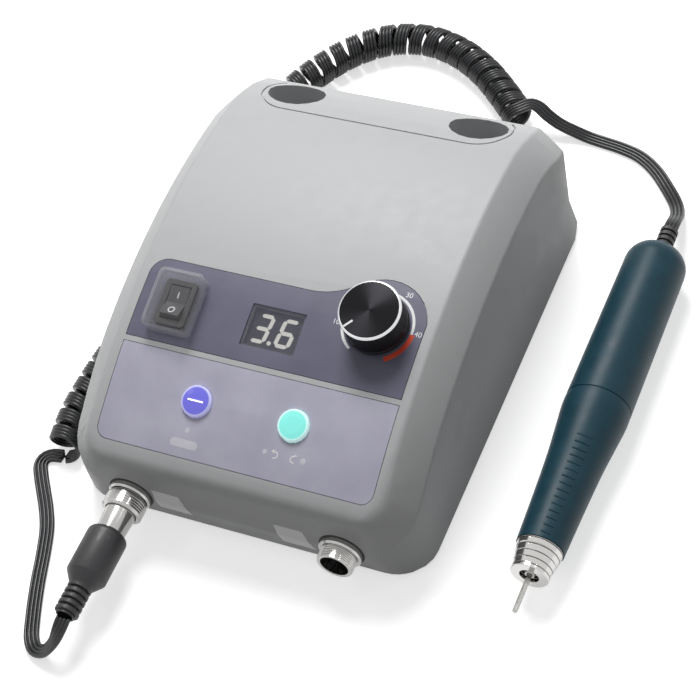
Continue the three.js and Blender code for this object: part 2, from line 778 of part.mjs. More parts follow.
// The groove from cup to cup: a straight run and an arc round the outer end of each cup.
function grooveBand() {
  const [inner, outer] = [GROOVE_RADIUS - GROOVE_WIDTH / 2, GROOVE_RADIUS + GROOVE_WIDTH / 2];
  const straight = block([-CUP_X, CUP_Y - outer, 0], [CUP_X, CUP_Y - inner, BOX_HEIGHT]);
  const reach = TOP / 2;
  const arc = new THREE.Shape();
  arc.absarc(CUP_X, CUP_Y, outer, -TOP, reach);
  arc.absarc(CUP_X, CUP_Y, inner, reach, -TOP, true);
  const right = prism(arc, 0, BOX_HEIGHT, ROUND / 2);
  const left = right.clone().rotateZ(2 * TOP).applyMatrix4(new THREE.Matrix4().makeScale(1, -1, 1));
  return join(straight, right, turnedOver(left));
}

// A mirrored body has its faces turned back outwards.
function turnedOver(geometry) {
  const index = geometry.index.array;
  for (let i = 0; i < index.length; i += 3) [index[i + 1], index[i + 2]] = [index[i + 2], index[i + 1]];
  return geometry;
}

function postPlaces() {
  const y = BACK - POST_INSET;
  return [
    [-POST_X, -y],
    [POST_X, -y],
    [-POST_X, y],
    [POST_X, y],
  ];
}

function footPlaces() {
  const y = BACK - FOOT_INSET;
  return [
    [-FOOT_X, -y],
    [FOOT_X, -y],
    [-FOOT_X, y],
    [FOOT_X, y],
  ];
}

// A disc across the front wall, on a socket's axis.
function frontDisc(radius, from, depth, x) {
  const disc = prism(circle(radius), 0, depth, ROUND / 2);
  return disc.rotateX(-TOP).translate(x, from, SOCKET_Z);
}

// Upper housing: a thin moulded shell with posts, board bosses and two deep rest cups.
function topShell() {
  const outside = housingForm(0, FOOT_HEIGHT);
  const inside = housingForm(WALL, FOOT_HEIGHT - OVERRUN, INSIDE_SECTIONS);
  const plateTop = PLATE_Z + PLATE + GAP;
  const posts = postPlaces().map(([x, y]) => prism(circle(POST_RADIUS, x, y), plateTop, BOX_HEIGHT, 5));
  const bosses = [-1, 1].flatMap((sideX) =>
    [-1, 1].map((sideY) => {
      const x = sideX * (BOARD_WIDTH / 2 - BOSS_INSET);
      const y = sideY * (BOARD_LENGTH / 2 - BOSS_INSET);
      return onDeck(prism(circle(BOSS_RADIUS, x, y), GAP - BOARD_DROP, 0, 4), 0, BOARD_Y);
    }),
  );
  const cups = [-CUP_X, CUP_X].map((x) =>
    prism(
      ellipse(CUP_HALF_WIDTH + CUP_WALL, CUP_HALF_DEPTH + CUP_WALL, x, CUP_Y),
      CUP_FLOOR_Z - CUP_WALL,
      BOX_HEIGHT,
      PLAIN / 2,
    ),
  );
  const pads = [-SOCKET_X, SOCKET_X].map((x) => frontDisc(SOCKET_FLANGE_RADIUS, FRONT, SOCKET_PAD, x));
  const backings = [-SOCKET_X, SOCKET_X].map((x) =>
    frontDisc(SOCKET_NUT_RADIUS + SOCKET_PAD_RIM, FRONT, SOCKET_PAD, x),
  );
  const added = common(join(...posts, ...bosses, ...cups, ...backings), outside);
  const body = join(cut(outside, inside), added, ...pads);
  const bores = [-CUP_X, CUP_X].map((x) =>
    prism(ellipse(CUP_HALF_WIDTH, CUP_HALF_DEPTH, x, CUP_Y), CUP_FLOOR_Z, BOX_HEIGHT + OVERRUN, PLAIN / 2),
  );
  const pilots = postPlaces().map(([x, y]) =>
    prism(circle(SCREW_RADIUS + GAP, x, y), 0, PLATE_Z + SCREW_LENGTH + 2 * GAP, 3),
  );
  const recess = (outline) => common(prism(outline, 0, BOX_HEIGHT + OVERRUN), deckSkin(-OVERRUN, PANEL + GAP));
  const groove = cut(grooveBand(), housingForm(GROOVE_DEPTH, FOOT_HEIGHT - OVERRUN));
  const socketHoles = [-SOCKET_X, SOCKET_X].map((x) =>
    frontDisc(THREAD_RADIUS + GAP, FRONT - OVERRUN, SOCKET_PAD + 2 * OVERRUN, x),
  );
  const inletHole = block(
    [-INLET_WIDTH / 2 - GAP, BACK - WALL - OVERRUN, INLET_Z - INLET_HEIGHT / 2 - GAP],
    [INLET_WIDTH / 2 + GAP, BACK + OVERRUN, INLET_Z + INLET_HEIGHT / 2 + GAP],
  );
  return cut(
    body,
    ...bores,
    ...pilots,
    recess(lowerPanelOutline(GAP)),
    recess(upperPanelOutline(GAP)),
    groove,
    switchHole(GAP),
    windowHole(-WINDOW_LEDGE),
    knobHole(),
    ...buttonHoles(),
    ...socketHoles,
    inletHole,
  );
}

// Base plate: sits inside the skirt, with countersunk screws, foot holes and air slots.
function basePlate() {
  const slab = block(
    [-BASE_HALF_WIDTH, FRONT, PLATE_Z],
    [BASE_HALF_WIDTH, BACK, PLATE_Z + PLATE],
  );
  const plate = common(housingForm(WALL + GAP, FOOT_HEIGHT - OVERRUN, INSIDE_SECTIONS), slab);
  const screws = postPlaces().map(([x, y]) => screwProfile(GAP, x, y));
  const stems = footPlaces().map(([x, y]) =>
    prism(circle(FOOT_STEM_RADIUS + GAP, x, y), PLATE_Z - OVERRUN, PLATE_Z + PLATE + OVERRUN, PLAIN / 2),
  );
  const vents = [];
  for (let i = 0; i < VENT_COUNT; i++) {
    const x = (i - (VENT_COUNT - 1) / 2) * VENT_PITCH;
    const y = BACK - VENT_FROM_BACK;
    vents.push(
      block(
        [x - VENT_WIDTH / 2, -y - VENT_LENGTH / 2, PLATE_Z - OVERRUN],
        [x + VENT_WIDTH / 2, -y + VENT_LENGTH / 2, PLATE_Z + PLATE + OVERRUN],
      ),
    );
  }
  return cut(plate, ...screws, ...stems, ...vents);
}

// A countersunk screw standing on its head, or, with a margin, the hole that it needs.
function screwProfile(margin, x, y) {
  const bottom = margin ? PLATE_Z - OVERRUN : PLATE_Z;
  const head = SCREW_HEAD_RADIUS + margin;
  const shank = SCREW_RADIUS + margin;
  const end = PLATE_Z + SCREW_LENGTH;
  const profile = [
    [0, bottom],
    [head, bottom],
    [head, PLATE_Z],
    [shank, PLATE_Z + SCREW_HEAD],
    [shank, end],
    [0, end],
  ];
  if (!margin) profile.splice(1, 1);
  return turnedUp(profile, COARSE).translate(x, y, 0);
}

function rubberFoot() {
  const plateTop = PLATE_Z + PLATE + GAP;
  return turnedUp(
    [
      [0, 0],
      [FOOT_RADIUS - FOOT_CHAMFER, 0],
      [FOOT_RADIUS, FOOT_CHAMFER],
      [FOOT_RADIUS, FOOT_HEIGHT - GAP],
      [FOOT_STEM_RADIUS, FOOT_HEIGHT - GAP],
      [FOOT_STEM_RADIUS, plateTop],
      [FOOT_BARB_RADIUS, plateTop],
      [FOOT_STEM_RADIUS, plateTop + FOOT_BARB],
      [0, plateTop + FOOT_BARB],
    ],
    PLAIN,
  );
}

// Power switch: the clear cover's base is clamped under the switch's bezel.
const BEZEL_Z = GAP + COVER_BASE + GAP;
const PIVOT_Z = BEZEL_Z;
const ROCKER_SWING = Math.hypot(ROCKER_REACH, ROCKER_RISE);

function switchBody() {
  const cavity = centredBlock(
    ROCKER_WIDTH + 2 * ROCKER_PLAY,
    2 * (ROCKER_SWING + ROCKER_PLAY),
    PIVOT_Z - ROCKER_SWING + ROCKER_RISE / 2,
    BEZEL_Z + SWITCH_BEZEL + OVERRUN,
  );
  const body = centredBlock(SWITCH_BODY_WIDTH, SWITCH_BODY_LENGTH, -SWITCH_BODY_DEPTH, BEZEL_Z + SWITCH_BEZEL / 2);
  const bezel = prism(
    roundedRectangle(SWITCH_BEZEL_WIDTH, SWITCH_BEZEL_LENGTH, SWITCH_BEZEL),
    BEZEL_Z,
    BEZEL_Z + SWITCH_BEZEL,
    3,
  );
  const terminals = [-1, 0, 1].map((place) =>
    centredBlock(TERMINAL_WIDTH, TERMINAL, -SWITCH_BODY_DEPTH - TERMINAL_LENGTH, TERMINAL - SWITCH_BODY_DEPTH).translate(
      0,
      (place * SWITCH_BODY_LENGTH) / 3,
      0,
    ),
  );
  const pinReach = ROCKER_WIDTH / 2 + ROCKER_PIN + GAP;
  const pinHole = prism(circle(ROCKER_PIN_RADIUS + GAP), -pinReach, pinReach, 3).rotateY(TOP);
  return cut(join(body, bezel, ...terminals), cavity, pinHole.translate(0, 0, PIVOT_Z));
}

// The rocker is drawn level and stored with its rear half pressed.
function rocker() {
  const heel = ROCKER_REACH * 0.8;
  const outline = [
    [-ROCKER_REACH, ROCKER_RISE],
    [-ROCKER_SWING + ROCKER_PLAY, 0],
    [-heel, -ROCKER_RISE],
    [heel, -ROCKER_RISE],
    [ROCKER_SWING - ROCKER_PLAY, 0],
    [ROCKER_REACH, ROCKER_RISE],
    [0, ROCKER_RISE / 3],
  ];
  const shape = new THREE.Shape(outline.map(([y, z]) => new THREE.Vector2(-y, z)));
  const body = prism(shape, -ROCKER_WIDTH / 2, ROCKER_WIDTH / 2).rotateX(TOP).rotateZ(TOP);
  const pinReach = ROCKER_WIDTH / 2 + ROCKER_PIN;
  const pin = prism(circle(ROCKER_PIN_RADIUS), -pinReach, pinReach, 3).rotateY(TOP);
  return join(body, pin);
}

function coverRing(inset, z) {
  const corner = Math.max(LEAST_RADIUS, COVER_CORNER - inset);
  const shape = roundedRectangle(COVER_WIDTH - 2 * inset, COVER_LENGTH - 2 * inset, corner);
  return shape.getPoints(3).slice(0, -1).map((point) => new THREE.Vector3(point.x, point.y, z));
}

function switchCover() {
  const top = GAP + COVER_HEIGHT;
  const dome = ringLoft([
    coverRing(0, GAP),
    coverRing(0, top - COVER_SHOULDER),
    coverRing(COVER_SHOULDER / 3, top - COVER_SHOULDER / 3),
    coverRing(COVER_SHOULDER, top),
  ]);
  const inside = ringLoft([
    coverRing(COVER_WALL, GAP + COVER_BASE),
    coverRing(COVER_WALL, top - COVER_SHOULDER),
    coverRing(COVER_WALL + COVER_SHOULDER / 3, top - COVER_WALL),
  ]);
  const opening = centredBlock(
    SWITCH_BODY_WIDTH + 2 * GAP,
    SWITCH_BODY_LENGTH + 2 * GAP,
    GAP - OVERRUN,
    GAP + COVER_BASE + OVERRUN,
  );
  return cut(dome, inside, opening);
}

function displayWindow() {
  const low = -(PANEL + GAP) + GAP;
  return centredBlock(WINDOW_WIDTH - 2 * GAP, WINDOW_LENGTH - 2 * GAP, low, low + WINDOW);
}

function displayModule() {
  const top = -WALL - DECK_SAG;
  const lean = Math.abs(deckTilt(DISPLAY_Y) - deckTilt(BOARD_Y));
  const bottom = -boardDepth(DISPLAY_Y) + (WINDOW_LENGTH / 2) * Math.sin(lean) + GAP;
  return centredBlock(WINDOW_WIDTH, WINDOW_LENGTH, Math.max(bottom, top - DIGITS_HEIGHT), top);
}

// Speed knob, hollow beneath, on a shaft with a flat.
function knobBore(margin, low, high) {
  const bore = prism(circle(SHAFT_RADIUS + margin), low, high, PLAIN / 2);
  const flat = SHAFT_RADIUS - SHAFT_FLAT + margin;
  return cut(bore, block([flat, -KNOB_RADIUS, low - OVERRUN], [KNOB_RADIUS, KNOB_RADIUS, high + OVERRUN]));
}

function speedKnob() {
  const rim = KNOB_RADIUS - KNOB_DRAFT;
  const hollow = KNOB_CLEARANCE + KNOB_HOLLOW;
  const body = turnedUp(
    [
      [0, KNOB_HEIGHT],
      [rim - KNOB_CHAMFER, KNOB_HEIGHT],
      [rim, KNOB_HEIGHT - KNOB_CHAMFER],
      [rim, KNOB_CLEARANCE + KNOB_SKIRT],
      [KNOB_RADIUS, KNOB_CLEARANCE + KNOB_SKIRT - KNOB_DRAFT],
      [KNOB_RADIUS, KNOB_CLEARANCE],
      [KNOB_HOLLOW_RADIUS, KNOB_CLEARANCE],
      [KNOB_HOLLOW_RADIUS, hollow],
      [0, hollow],
    ],
    FINE,
  );
  const bore = knobBore(GAP, hollow - OVERRUN, KNOB_HEIGHT - KNOB_TOP);
  const pointer = block(
    [rim - KNOB_CHAMFER - POINTER_LENGTH, -POINTER_WIDTH / 2, KNOB_HEIGHT - POINTER_DEPTH],
    [rim - KNOB_CHAMFER, POINTER_WIDTH / 2, KNOB_HEIGHT + OVERRUN],
  ).rotateZ(POINTER_ANGLE);
  return cut(body, bore, pointer);
}

const POT_TOP = -WALL - DECK_SAG;
const SHAFT_FOOT = POT_TOP - POT_DEPTH / 2;

function potShaft() {
  const flatFrom = BUSHING_RISE + GAP;
  const round = prism(circle(SHAFT_RADIUS), SHAFT_FOOT, flatFrom, PLAIN / 2);
  return join(round, knobBore(0, flatFrom - GAP, KNOB_HEIGHT - KNOB_TOP - GAP));
}

function potentiometer() {
  const can = turnedUp(
    [
      [0, POT_TOP - POT_DEPTH],
      [POT_RADIUS, POT_TOP - POT_DEPTH],
      [POT_RADIUS, POT_TOP],
      [BUSHING_RADIUS, POT_TOP],
      [BUSHING_RADIUS, BUSHING_RISE],
      [0, BUSHING_RISE],
    ],
    PLAIN,
  );
  const lugs = block(
    [-POT_LUG_WIDTH / 2, -POT_RADIUS - POT_LUG_LENGTH, POT_TOP - POT_DEPTH / 2],
    [POT_LUG_WIDTH / 2, 0, POT_TOP - POT_DEPTH / 2 + POT_LUG],
  );
  const bore = prism(circle(SHAFT_RADIUS + SHAFT_PLAY), SHAFT_FOOT - GAP, BUSHING_RISE + OVERRUN, PLAIN / 2);
  return cut(join(can, lugs), bore);
}

function potNut() {
  const hexagon = new THREE.Shape(
    [0, 1, 2, 3, 4, 5].map((corner) => {
      const angle = (corner * 2 * TOP) / 3;
      return new THREE.Vector2(POT_NUT_RADIUS * Math.cos(angle), POT_NUT_RADIUS * Math.sin(angle));
    }),
  );
  return cut(
    prism(hexagon, GAP, GAP + POT_NUT),
    prism(circle(BUSHING_RADIUS + GAP), GAP - OVERRUN, POT_NUT + OVERRUN, PLAIN / 2),
  );
}

// Push button: a crowned cap, kept in by a flange under the deck, with a stem to its switch.
const BUTTON_FLANGE_Z = -WALL - DECK_SAG;

function buttonStemEnd() {
  return -boardDepth(BUTTON_Y) + GAP + TACT_HEIGHT + TACT_PLUNGER + BUTTON_TRAVEL + GAP;
}

function pushButton() {
  const flange = BUTTON_RADIUS + BUTTON_FLANGE_WIDTH;
  return turnedUp(
    [
      [0, BUTTON_RISE + BUTTON_CROWN],
      [BUTTON_RADIUS * 0.55, BUTTON_RISE + BUTTON_CROWN * 0.75],
      [BUTTON_RADIUS - BUTTON_CROWN, BUTTON_RISE],
      [BUTTON_RADIUS, BUTTON_RISE - BUTTON_CROWN],
      [BUTTON_RADIUS, BUTTON_FLANGE_Z],
      [flange, BUTTON_FLANGE_Z],
      [flange, BUTTON_FLANGE_Z - BUTTON_FLANGE],
      [BUTTON_STEM_RADIUS, BUTTON_FLANGE_Z - BUTTON_FLANGE],
      [BUTTON_STEM_RADIUS, buttonStemEnd()],
      [0, buttonStemEnd()],
    ],
    ROUND,
  );
}

function tactSwitch() {
  const bottom = -boardDepth(BUTTON_Y) + (TACT_WIDTH / 2) * Math.sin(deckTilt(BUTTON_Y) - deckTilt(BOARD_Y)) + GAP;
  const shoulder = -boardDepth(BUTTON_Y) + GAP + TACT_HEIGHT;
  return join(
    centredBlock(TACT_WIDTH, TACT_WIDTH, bottom, shoulder),
    prism(circle(TACT_PLUNGER_RADIUS), shoulder - TACT_PLUNGER, shoulder + TACT_PLUNGER, 3),
  );
}

function controlBoard() {
  return centredBlock(BOARD_WIDTH, BOARD_LENGTH, -BOARD_DROP - BOARD, -BOARD_DROP);
}

// Transformer: a laminated core with mounting flanges, its winding round the middle leg.
const ON_PLATE = PLATE_Z + PLATE + GAP;

function transformerCore() {
  const high = ON_PLATE + CORE_HEIGHT;
  const core = centredBlock(CORE_WIDTH, CORE_DEPTH, ON_PLATE, high);
  const flange = centredBlock(CORE_WIDTH + 2 * CORE_FLANGE, CORE_DEPTH, ON_PLATE, ON_PLATE + CORE_FLANGE_THICK);
  const [near, far] = [CORE_LEG, CORE_WIDTH / 2 - CORE_LEG];
  const windows = [
    [near, far],
    [-far, -near],
  ].map(([from, to]) => block([from, -CORE_DEPTH, ON_PLATE + CORE_LEG], [to, CORE_DEPTH, high - CORE_LEG]));
  return cut(join(core, flange), ...windows);
}

function transformerWinding() {
  const reach = CORE_WIDTH / 2 - CORE_LEG - GAP;
  const [low, high] = [ON_PLATE + CORE_LEG + GAP, ON_PLATE + CORE_HEIGHT - CORE_LEG - GAP];
  const coil = centredBlock(2 * reach, CORE_DEPTH + 2 * WINDING_BULGE, low, high);
  const leg = centredBlock(2 * (CORE_LEG + GAP), CORE_DEPTH + 2 * GAP, low - OVERRUN, high + OVERRUN);
  return cut(coil, leg);
}

function driverBoard() {
  const low = ON_PLATE + DRIVER_STANDOFF;
  const board = centredBlock(DRIVER_WIDTH, DRIVER_LENGTH, low, low + BOARD);
  const places = [-1, 1].flatMap((a) => [-1, 1].map((b) => [a, b]));
  const standoffs = places.map(([a, b]) => {
    const x = a * (DRIVER_WIDTH / 2 - BOSS_INSET);
    const y = b * (DRIVER_LENGTH / 2 - BOSS_INSET);
    return prism(circle(STANDOFF_RADIUS, x, y), ON_PLATE, low + BOARD / 2, 3);
  });
  const capacitors = [-1, 1].map((side) =>
    prism(
      circle(CAPACITOR_RADIUS, side * (CAPACITOR_RADIUS + 1) - DRIVER_WIDTH / 4, 0),
      low + BOARD / 2,
      low + BOARD + CAPACITOR_HEIGHT,
      3,
    ),
  );
  return join(board, ...standoffs, ...capacitors);
}

function heatSink() {
  const low = ON_PLATE + DRIVER_STANDOFF + BOARD + GAP;
  const base = centredBlock(SINK_WIDTH, SINK_BASE, low, low + SINK_HEIGHT);
  const fins = [];
  for (let i = 0; i < SINK_FINS; i++) {
    const x = (i / (SINK_FINS - 1) - 0.5) * (SINK_WIDTH - SINK_FIN);
    fins.push(block([x - SINK_FIN / 2, 0, low], [x + SINK_FIN / 2, SINK_FIN_LENGTH, low + SINK_HEIGHT]));
  }
  return join(base, ...fins);
}

// Mains inlet: a flanged socket clipped in the rear wall, with three blades in a deep recess.
function mainsInlet() {
  const along = (geometry) => geometry.rotateX(TOP).translate(0, BACK, INLET_Z);
  const flange = along(
    prism(
      roundedRectangle(INLET_FLANGE_WIDTH, INLET_FLANGE_HEIGHT, INLET_CORNER),
      -GAP - INLET_FLANGE,
      -GAP,
      2,
    ),
  );
  const body = along(centredBlock(INLET_WIDTH, INLET_HEIGHT, -GAP - INLET_FLANGE / 2, INLET_DEPTH));
  const recess = along(
    centredBlock(
      INLET_WIDTH - 2 * INLET_WALL,
      INLET_HEIGHT - 2 * INLET_WALL,
      -GAP - INLET_FLANGE - OVERRUN,
      INLET_RECESS,
    ),
  );
  const pins = [-1, 0, 1].map((place) =>
    along(
      centredBlock(INLET_PIN_THICK, INLET_PIN_WIDTH, INLET_PIN_SHORT, INLET_DEPTH - INLET_WALL).translate(
        place * INLET_PIN_PITCH,
        place ? INLET_PIN_OFFSET : -INLET_PIN_OFFSET,
        0,
      ),
    ),
  );
  return join(cut(join(flange, body), recess), ...pins);
}

// Sockets: a threaded sleeve with an outside flange, a nut inside the wall and a pin insert.
// Their pieces are drawn with the outside of the front wall at y = 0.
const SOCKET_INNER_END = SOCKET_PAD + SOCKET_TAIL;

function socketSleeve() {
  const face = -GAP;
  return turned(
    [
      [SOCKET_BORE, -SOCKET_REACH],
      [THREAD_RADIUS, -SOCKET_REACH],
      [THREAD_RADIUS, face - SOCKET_FLANGE],
      [SOCKET_FLANGE_RADIUS - SOCKET_FLANGE_BEVEL, face - SOCKET_FLANGE],
      [SOCKET_FLANGE_RADIUS, face - SOCKET_FLANGE + SOCKET_FLANGE_BEVEL],
      [SOCKET_FLANGE_RADIUS, face],
      [THREAD_RADIUS, face],
      [THREAD_RADIUS, SOCKET_INNER_END],
      [SOCKET_BORE, SOCKET_INNER_END],
      [SOCKET_BORE, -SOCKET_REACH],
    ],
    ROUND,
  );
}

function socketNut() {
  const low = SOCKET_PAD + GAP;
  const hexagon = new THREE.Shape(
    [0, 1, 2, 3, 4, 5].map((corner) => {
      const angle = (corner * 2 * TOP) / 3;
      return new THREE.Vector2(SOCKET_NUT_RADIUS * Math.cos(angle), SOCKET_NUT_RADIUS * Math.sin(angle));
    }),
  );
  const hole = prism(circle(THREAD_RADIUS + GAP), low - OVERRUN, low + SOCKET_NUT + OVERRUN, PLAIN / 2);
  return cut(prism(hexagon, low, low + SOCKET_NUT), hole).rotateX(-TOP);
}

function pinPlaces() {
  return [0, 1, 2, 3, 4].map((pin) => {
    const angle = (pin * 4 * TOP) / 5;
    return [PIN_CIRCLE * Math.cos(angle), PIN_CIRCLE * Math.sin(angle)];
  });
}

// The insulating disc with five pins that start a little way behind the mouth.
function socketInsert() {
  const face = SOCKET_BORE_DEPTH - SOCKET_REACH;
  const end = SOCKET_INNER_END;
  const disc = prism(circle(SOCKET_BORE - GAP), face, end, PLAIN / 2);
  const pins = pinPlaces().map(([x, z]) =>
    prism(circle(PIN_RADIUS, x, z), PIN_RECESS - SOCKET_REACH, end + PIN_TAIL, 2),
  );
  return join(disc, ...pins).rotateX(-TOP);
}

// Plug: drawn with the socket's mouth at y = 0; everything lies towards -Y.
const RING_END = RING_LIP + 2 * GAP + COLLAR + GAP;

function plugRing() {
  const lap = RING_LAP;
  return turned(
    [
      [THREAD_RADIUS + GAP, lap],
      [RING_RADIUS - RING_BEVEL / 2, lap],
      [RING_RADIUS, lap - RING_BEVEL],
      [RING_RADIUS, RING_BEVEL - RING_END],
      [RING_RADIUS - RING_BEVEL, -RING_END],
      [BARREL_RADIUS + GAP, -RING_END],
      [BARREL_RADIUS + GAP, RING_LIP - RING_END],
      [THREAD_RADIUS + GAP, RING_LIP - RING_END],
      [THREAD_RADIUS + GAP, lap],
    ],
    ROUND,
  );
}

// A chromed barrel with a collar inside the ring and a smaller tail inside the boot.
function plugBarrel() {
  const end = -BARREL_END + SOCKET_REACH;
  const body = turned(
    [
      [BARREL_REAR_RADIUS - BARREL_WALL, -GAP],
      [THREAD_RADIUS, -GAP],
      [THREAD_RADIUS, -GAP - COLLAR],
      [BARREL_RADIUS, -GAP - COLLAR],
      [BARREL_RADIUS, -RING_END - GAP],
      [BARREL_REAR_RADIUS, end],
      [BARREL_TAIL_RADIUS, end],
      [BARREL_TAIL_RADIUS, end - BARREL_TAIL],
      [BARREL_TAIL_RADIUS - BARREL_WALL, end - BARREL_TAIL],
      [BARREL_TAIL_RADIUS - BARREL_WALL, end],
      [BARREL_REAR_RADIUS - BARREL_WALL, end + BARREL_WALL],
      [BARREL_REAR_RADIUS - BARREL_WALL, -GAP],
    ],
    ROUND,
  );
  return body;
}

// The insulating insert that enters the socket, with a hole for each pin.
function plugInsert() {
  const nose = SOCKET_REACH - PIN_RECESS + 1;
  const front = SOCKET_BORE_DEPTH - GAP;
  const radius = Math.min(INSERT_RADIUS, BARREL_REAR_RADIUS - BARREL_WALL - GAP);
  const body = prism(circle(radius), -front, INSERT_LENGTH - front, PLAIN / 2);
  const holes = pinPlaces().map(([x, z]) => prism(circle(PIN_RADIUS + GAP, x, z), -front - OVERRUN, nose, 2));
  return cut(body, ...holes).rotateX(TOP);
}

// Ribbed relief profile: rings on a thinner neck, from one place along -Y to the next.
function ribProfile(start, count, radius, taper, neck, direction) {
  const profile = [];
  for (let i = 0; i < count; i++) {
    const from = start + direction * (i + 1 - RIB_SHARE) * RIB_PITCH;
    const to = start + direction * (i + 1) * RIB_PITCH;
    const rib = radius - taper * i;
    profile.push([neck, from], [rib, from], [rib, to]);
    if (i + 1 < count) profile.push([neck, to]);
  }
  return profile;
}

function plugBoot() {
  const start = -BARREL_END + SOCKET_REACH - GAP;
  const shoulder = start - BOOT_BODY;
  const coneEnd = shoulder - BOOT_CONE;
  const ribs = ribProfile(coneEnd, BOOT_RIBS, RIB_RADIUS, RIB_TAPER / BOOT_RIBS, RIB_NECK, -1);
  const end = coneEnd - BOOT_RIBS * RIB_PITCH;
  const bore = BARREL_TAIL_RADIUS + GAP;
  return turned(
    [
      [bore, start],
      [BOOT_RADIUS - BOOT_ROUND, start],
      [BOOT_RADIUS - BOOT_ROUND * 0.3, start - BOOT_ROUND * 0.3],
      [BOOT_RADIUS, start - BOOT_ROUND],
      [BOOT_RADIUS, shoulder],
      [RIB_RADIUS, coneEnd],
      ...ribs,
      [0, end],
      [0, start - BARREL_TAIL - GAP],
      [bore, start - BARREL_TAIL - GAP],
      [bore, start],
    ],
    ROUND - 4,
  );
}

// Handpiece, drawn along Y with the parting line at y = 0 and the tail towards +Y.
const CASE_BORE = HANDPIECE_RADIUS - CASE_DRAFT - CASE_WALL;

function rearCase() {
  const endRadius = HANDPIECE_RADIUS - CASE_DRAFT;
  const shoulder = CASE_LENGTH - CASE_END_ROUND;
  const round = [];
  for (const share of [0, 0.25, 0.5, 0.75, 1]) {
    const angle = share * TOP * 0.96;
    round.push([
      endRadius - CASE_END_ROUND * (1 - Math.cos(angle)),
      shoulder + CASE_END_ROUND * Math.sin(angle),
    ]);
  }
  const exit = TAIL_RIB_NECK + GAP;
  return turned(
    [
      [CASE_BORE, GAP / 2],
      [HANDPIECE_RADIUS, GAP / 2],
      [HANDPIECE_RADIUS - CASE_DRAFT / 3, shoulder / 2],
      ...round,
      [exit, CASE_LENGTH],
      [exit, CASE_LENGTH - 2 * CASE_WALL],
      [CASE_BORE / 2, CASE_LENGTH - 2 * CASE_WALL],
      [CASE_BORE, shoulder],
      [CASE_BORE, GAP / 2],
    ],
    FINE,
  );
}

function tailRelief() {
  const outside = CASE_LENGTH + GAP;
  const inside = CASE_LENGTH - 2 * CASE_WALL - GAP;
  const ribs = ribProfile(outside, TAIL_RIBS, TAIL_RIB_RADIUS, 0, TAIL_RIB_NECK, 1);
  const end = outside + TAIL_RIBS * RIB_PITCH;
  return turned(
    [
      [0, inside - TAIL_FLANGE],
      [TAIL_FLANGE_RADIUS, inside - TAIL_FLANGE],
      [TAIL_FLANGE_RADIUS, inside],
      [TAIL_RIB_NECK, inside],
      ...ribs,
      [0, end],
    ],
    PLAIN,
  );
}

function motorCan() {
  const outer = CASE_BORE - CAN_CLEARANCE;
  const inner = outer - CAN_WALL;
  const magnet = inner - MAGNET_THICK;
  const end = CAN_START + CAN_LENGTH;
  const [from, to] = MAGNET_SHARES.map((share) => CAN_START + share * CAN_LENGTH);
  const hole = ROTOR_SHAFT_RADIUS + SHAFT_PLAY;
  return turned(
    [
      [inner, CAN_START],
      [outer, CAN_START],
      [outer, end],
      [hole, end],
      [hole, end - CAN_WALL],
      [inner, end - CAN_WALL],
      [inner, to],
      [magnet, to],
      [magnet, from],
      [inner, from],
      [inner, CAN_START],
    ],
    PLAIN,
  );
}

const MAGNET_BORE = CASE_BORE - CAN_CLEARANCE - CAN_WALL - MAGNET_THICK;
const BRUSH_AT = CAN_START + CAN_LENGTH * MAGNET_SHARES[1] + BRUSH_LENGTH;

function motorRotor() {
  const armature = MAGNET_BORE - ROTOR_GAP;
  const [from, to] = MAGNET_SHARES.map((share) => CAN_START + share * CAN_LENGTH);
  const end = CAN_START + CAN_LENGTH + OVERRUN;
  return turned(
    [
      [0, SPINDLE_REAR + GAP],
      [ROTOR_SHAFT_RADIUS, SPINDLE_REAR + GAP],
      [ROTOR_SHAFT_RADIUS, from],
      [armature, from],
      [armature, to],
      [COMMUTATOR_RADIUS, to],
      [COMMUTATOR_RADIUS, BRUSH_AT + COMMUTATOR / 2],
      [ROTOR_SHAFT_RADIUS, BRUSH_AT + COMMUTATOR / 2],
      [ROTOR_SHAFT_RADIUS, end],
      [0, end],
    ],
    PLAIN,
  );
}

function carbonBrush(side) {
  const inner = COMMUTATOR_RADIUS + GAP;
  const outer = CASE_BORE - CAN_CLEARANCE - CAN_WALL - 2 * GAP;
  const [low, high] = side > 0 ? [inner, outer] : [-outer, -inner];
  return block(
    [low, BRUSH_AT - BRUSH_LENGTH / 2, -BRUSH_WIDTH / 2],
    [high, BRUSH_AT + BRUSH_LENGTH / 2, BRUSH_WIDTH / 2],
  );
}

// Front grip: full width at the parting line, drawn in towards the fingers, in two tapers.
const GRIP_STATIONS = [
  [HANDPIECE_RADIUS, GAP / 2],
  [HANDPIECE_RADIUS, GRIP_FULL],
  [GRIP_WAIST_RADIUS, GRIP_WAIST_AT],
  [GRIP_MID_RADIUS, GRIP_MID_AT],
  [GRIP_END_RADIUS, GRIP_LENGTH],
];
const HOUSING_RADIUS = GRIP_MID_RADIUS - GRIP_WALL - GAP;
const NECK_RADIUS = GRIP_END_RADIUS - GRIP_WALL - GAP;

function frontGrip() {
  const neckFrom = GRIP_MID_AT;
  return turned(
    [
      [HOUSING_RADIUS + GAP, -GAP / 2],
      ...GRIP_STATIONS.map(([radius, back]) => [radius, -back]),
      [NECK_RADIUS + GAP, -GRIP_LENGTH],
      [NECK_RADIUS + GAP, -neckFrom],
      [HOUSING_RADIUS + GAP, -neckFrom],
      [HOUSING_RADIUS + GAP, -GAP / 2],
    ],
    FINE,
  );
}

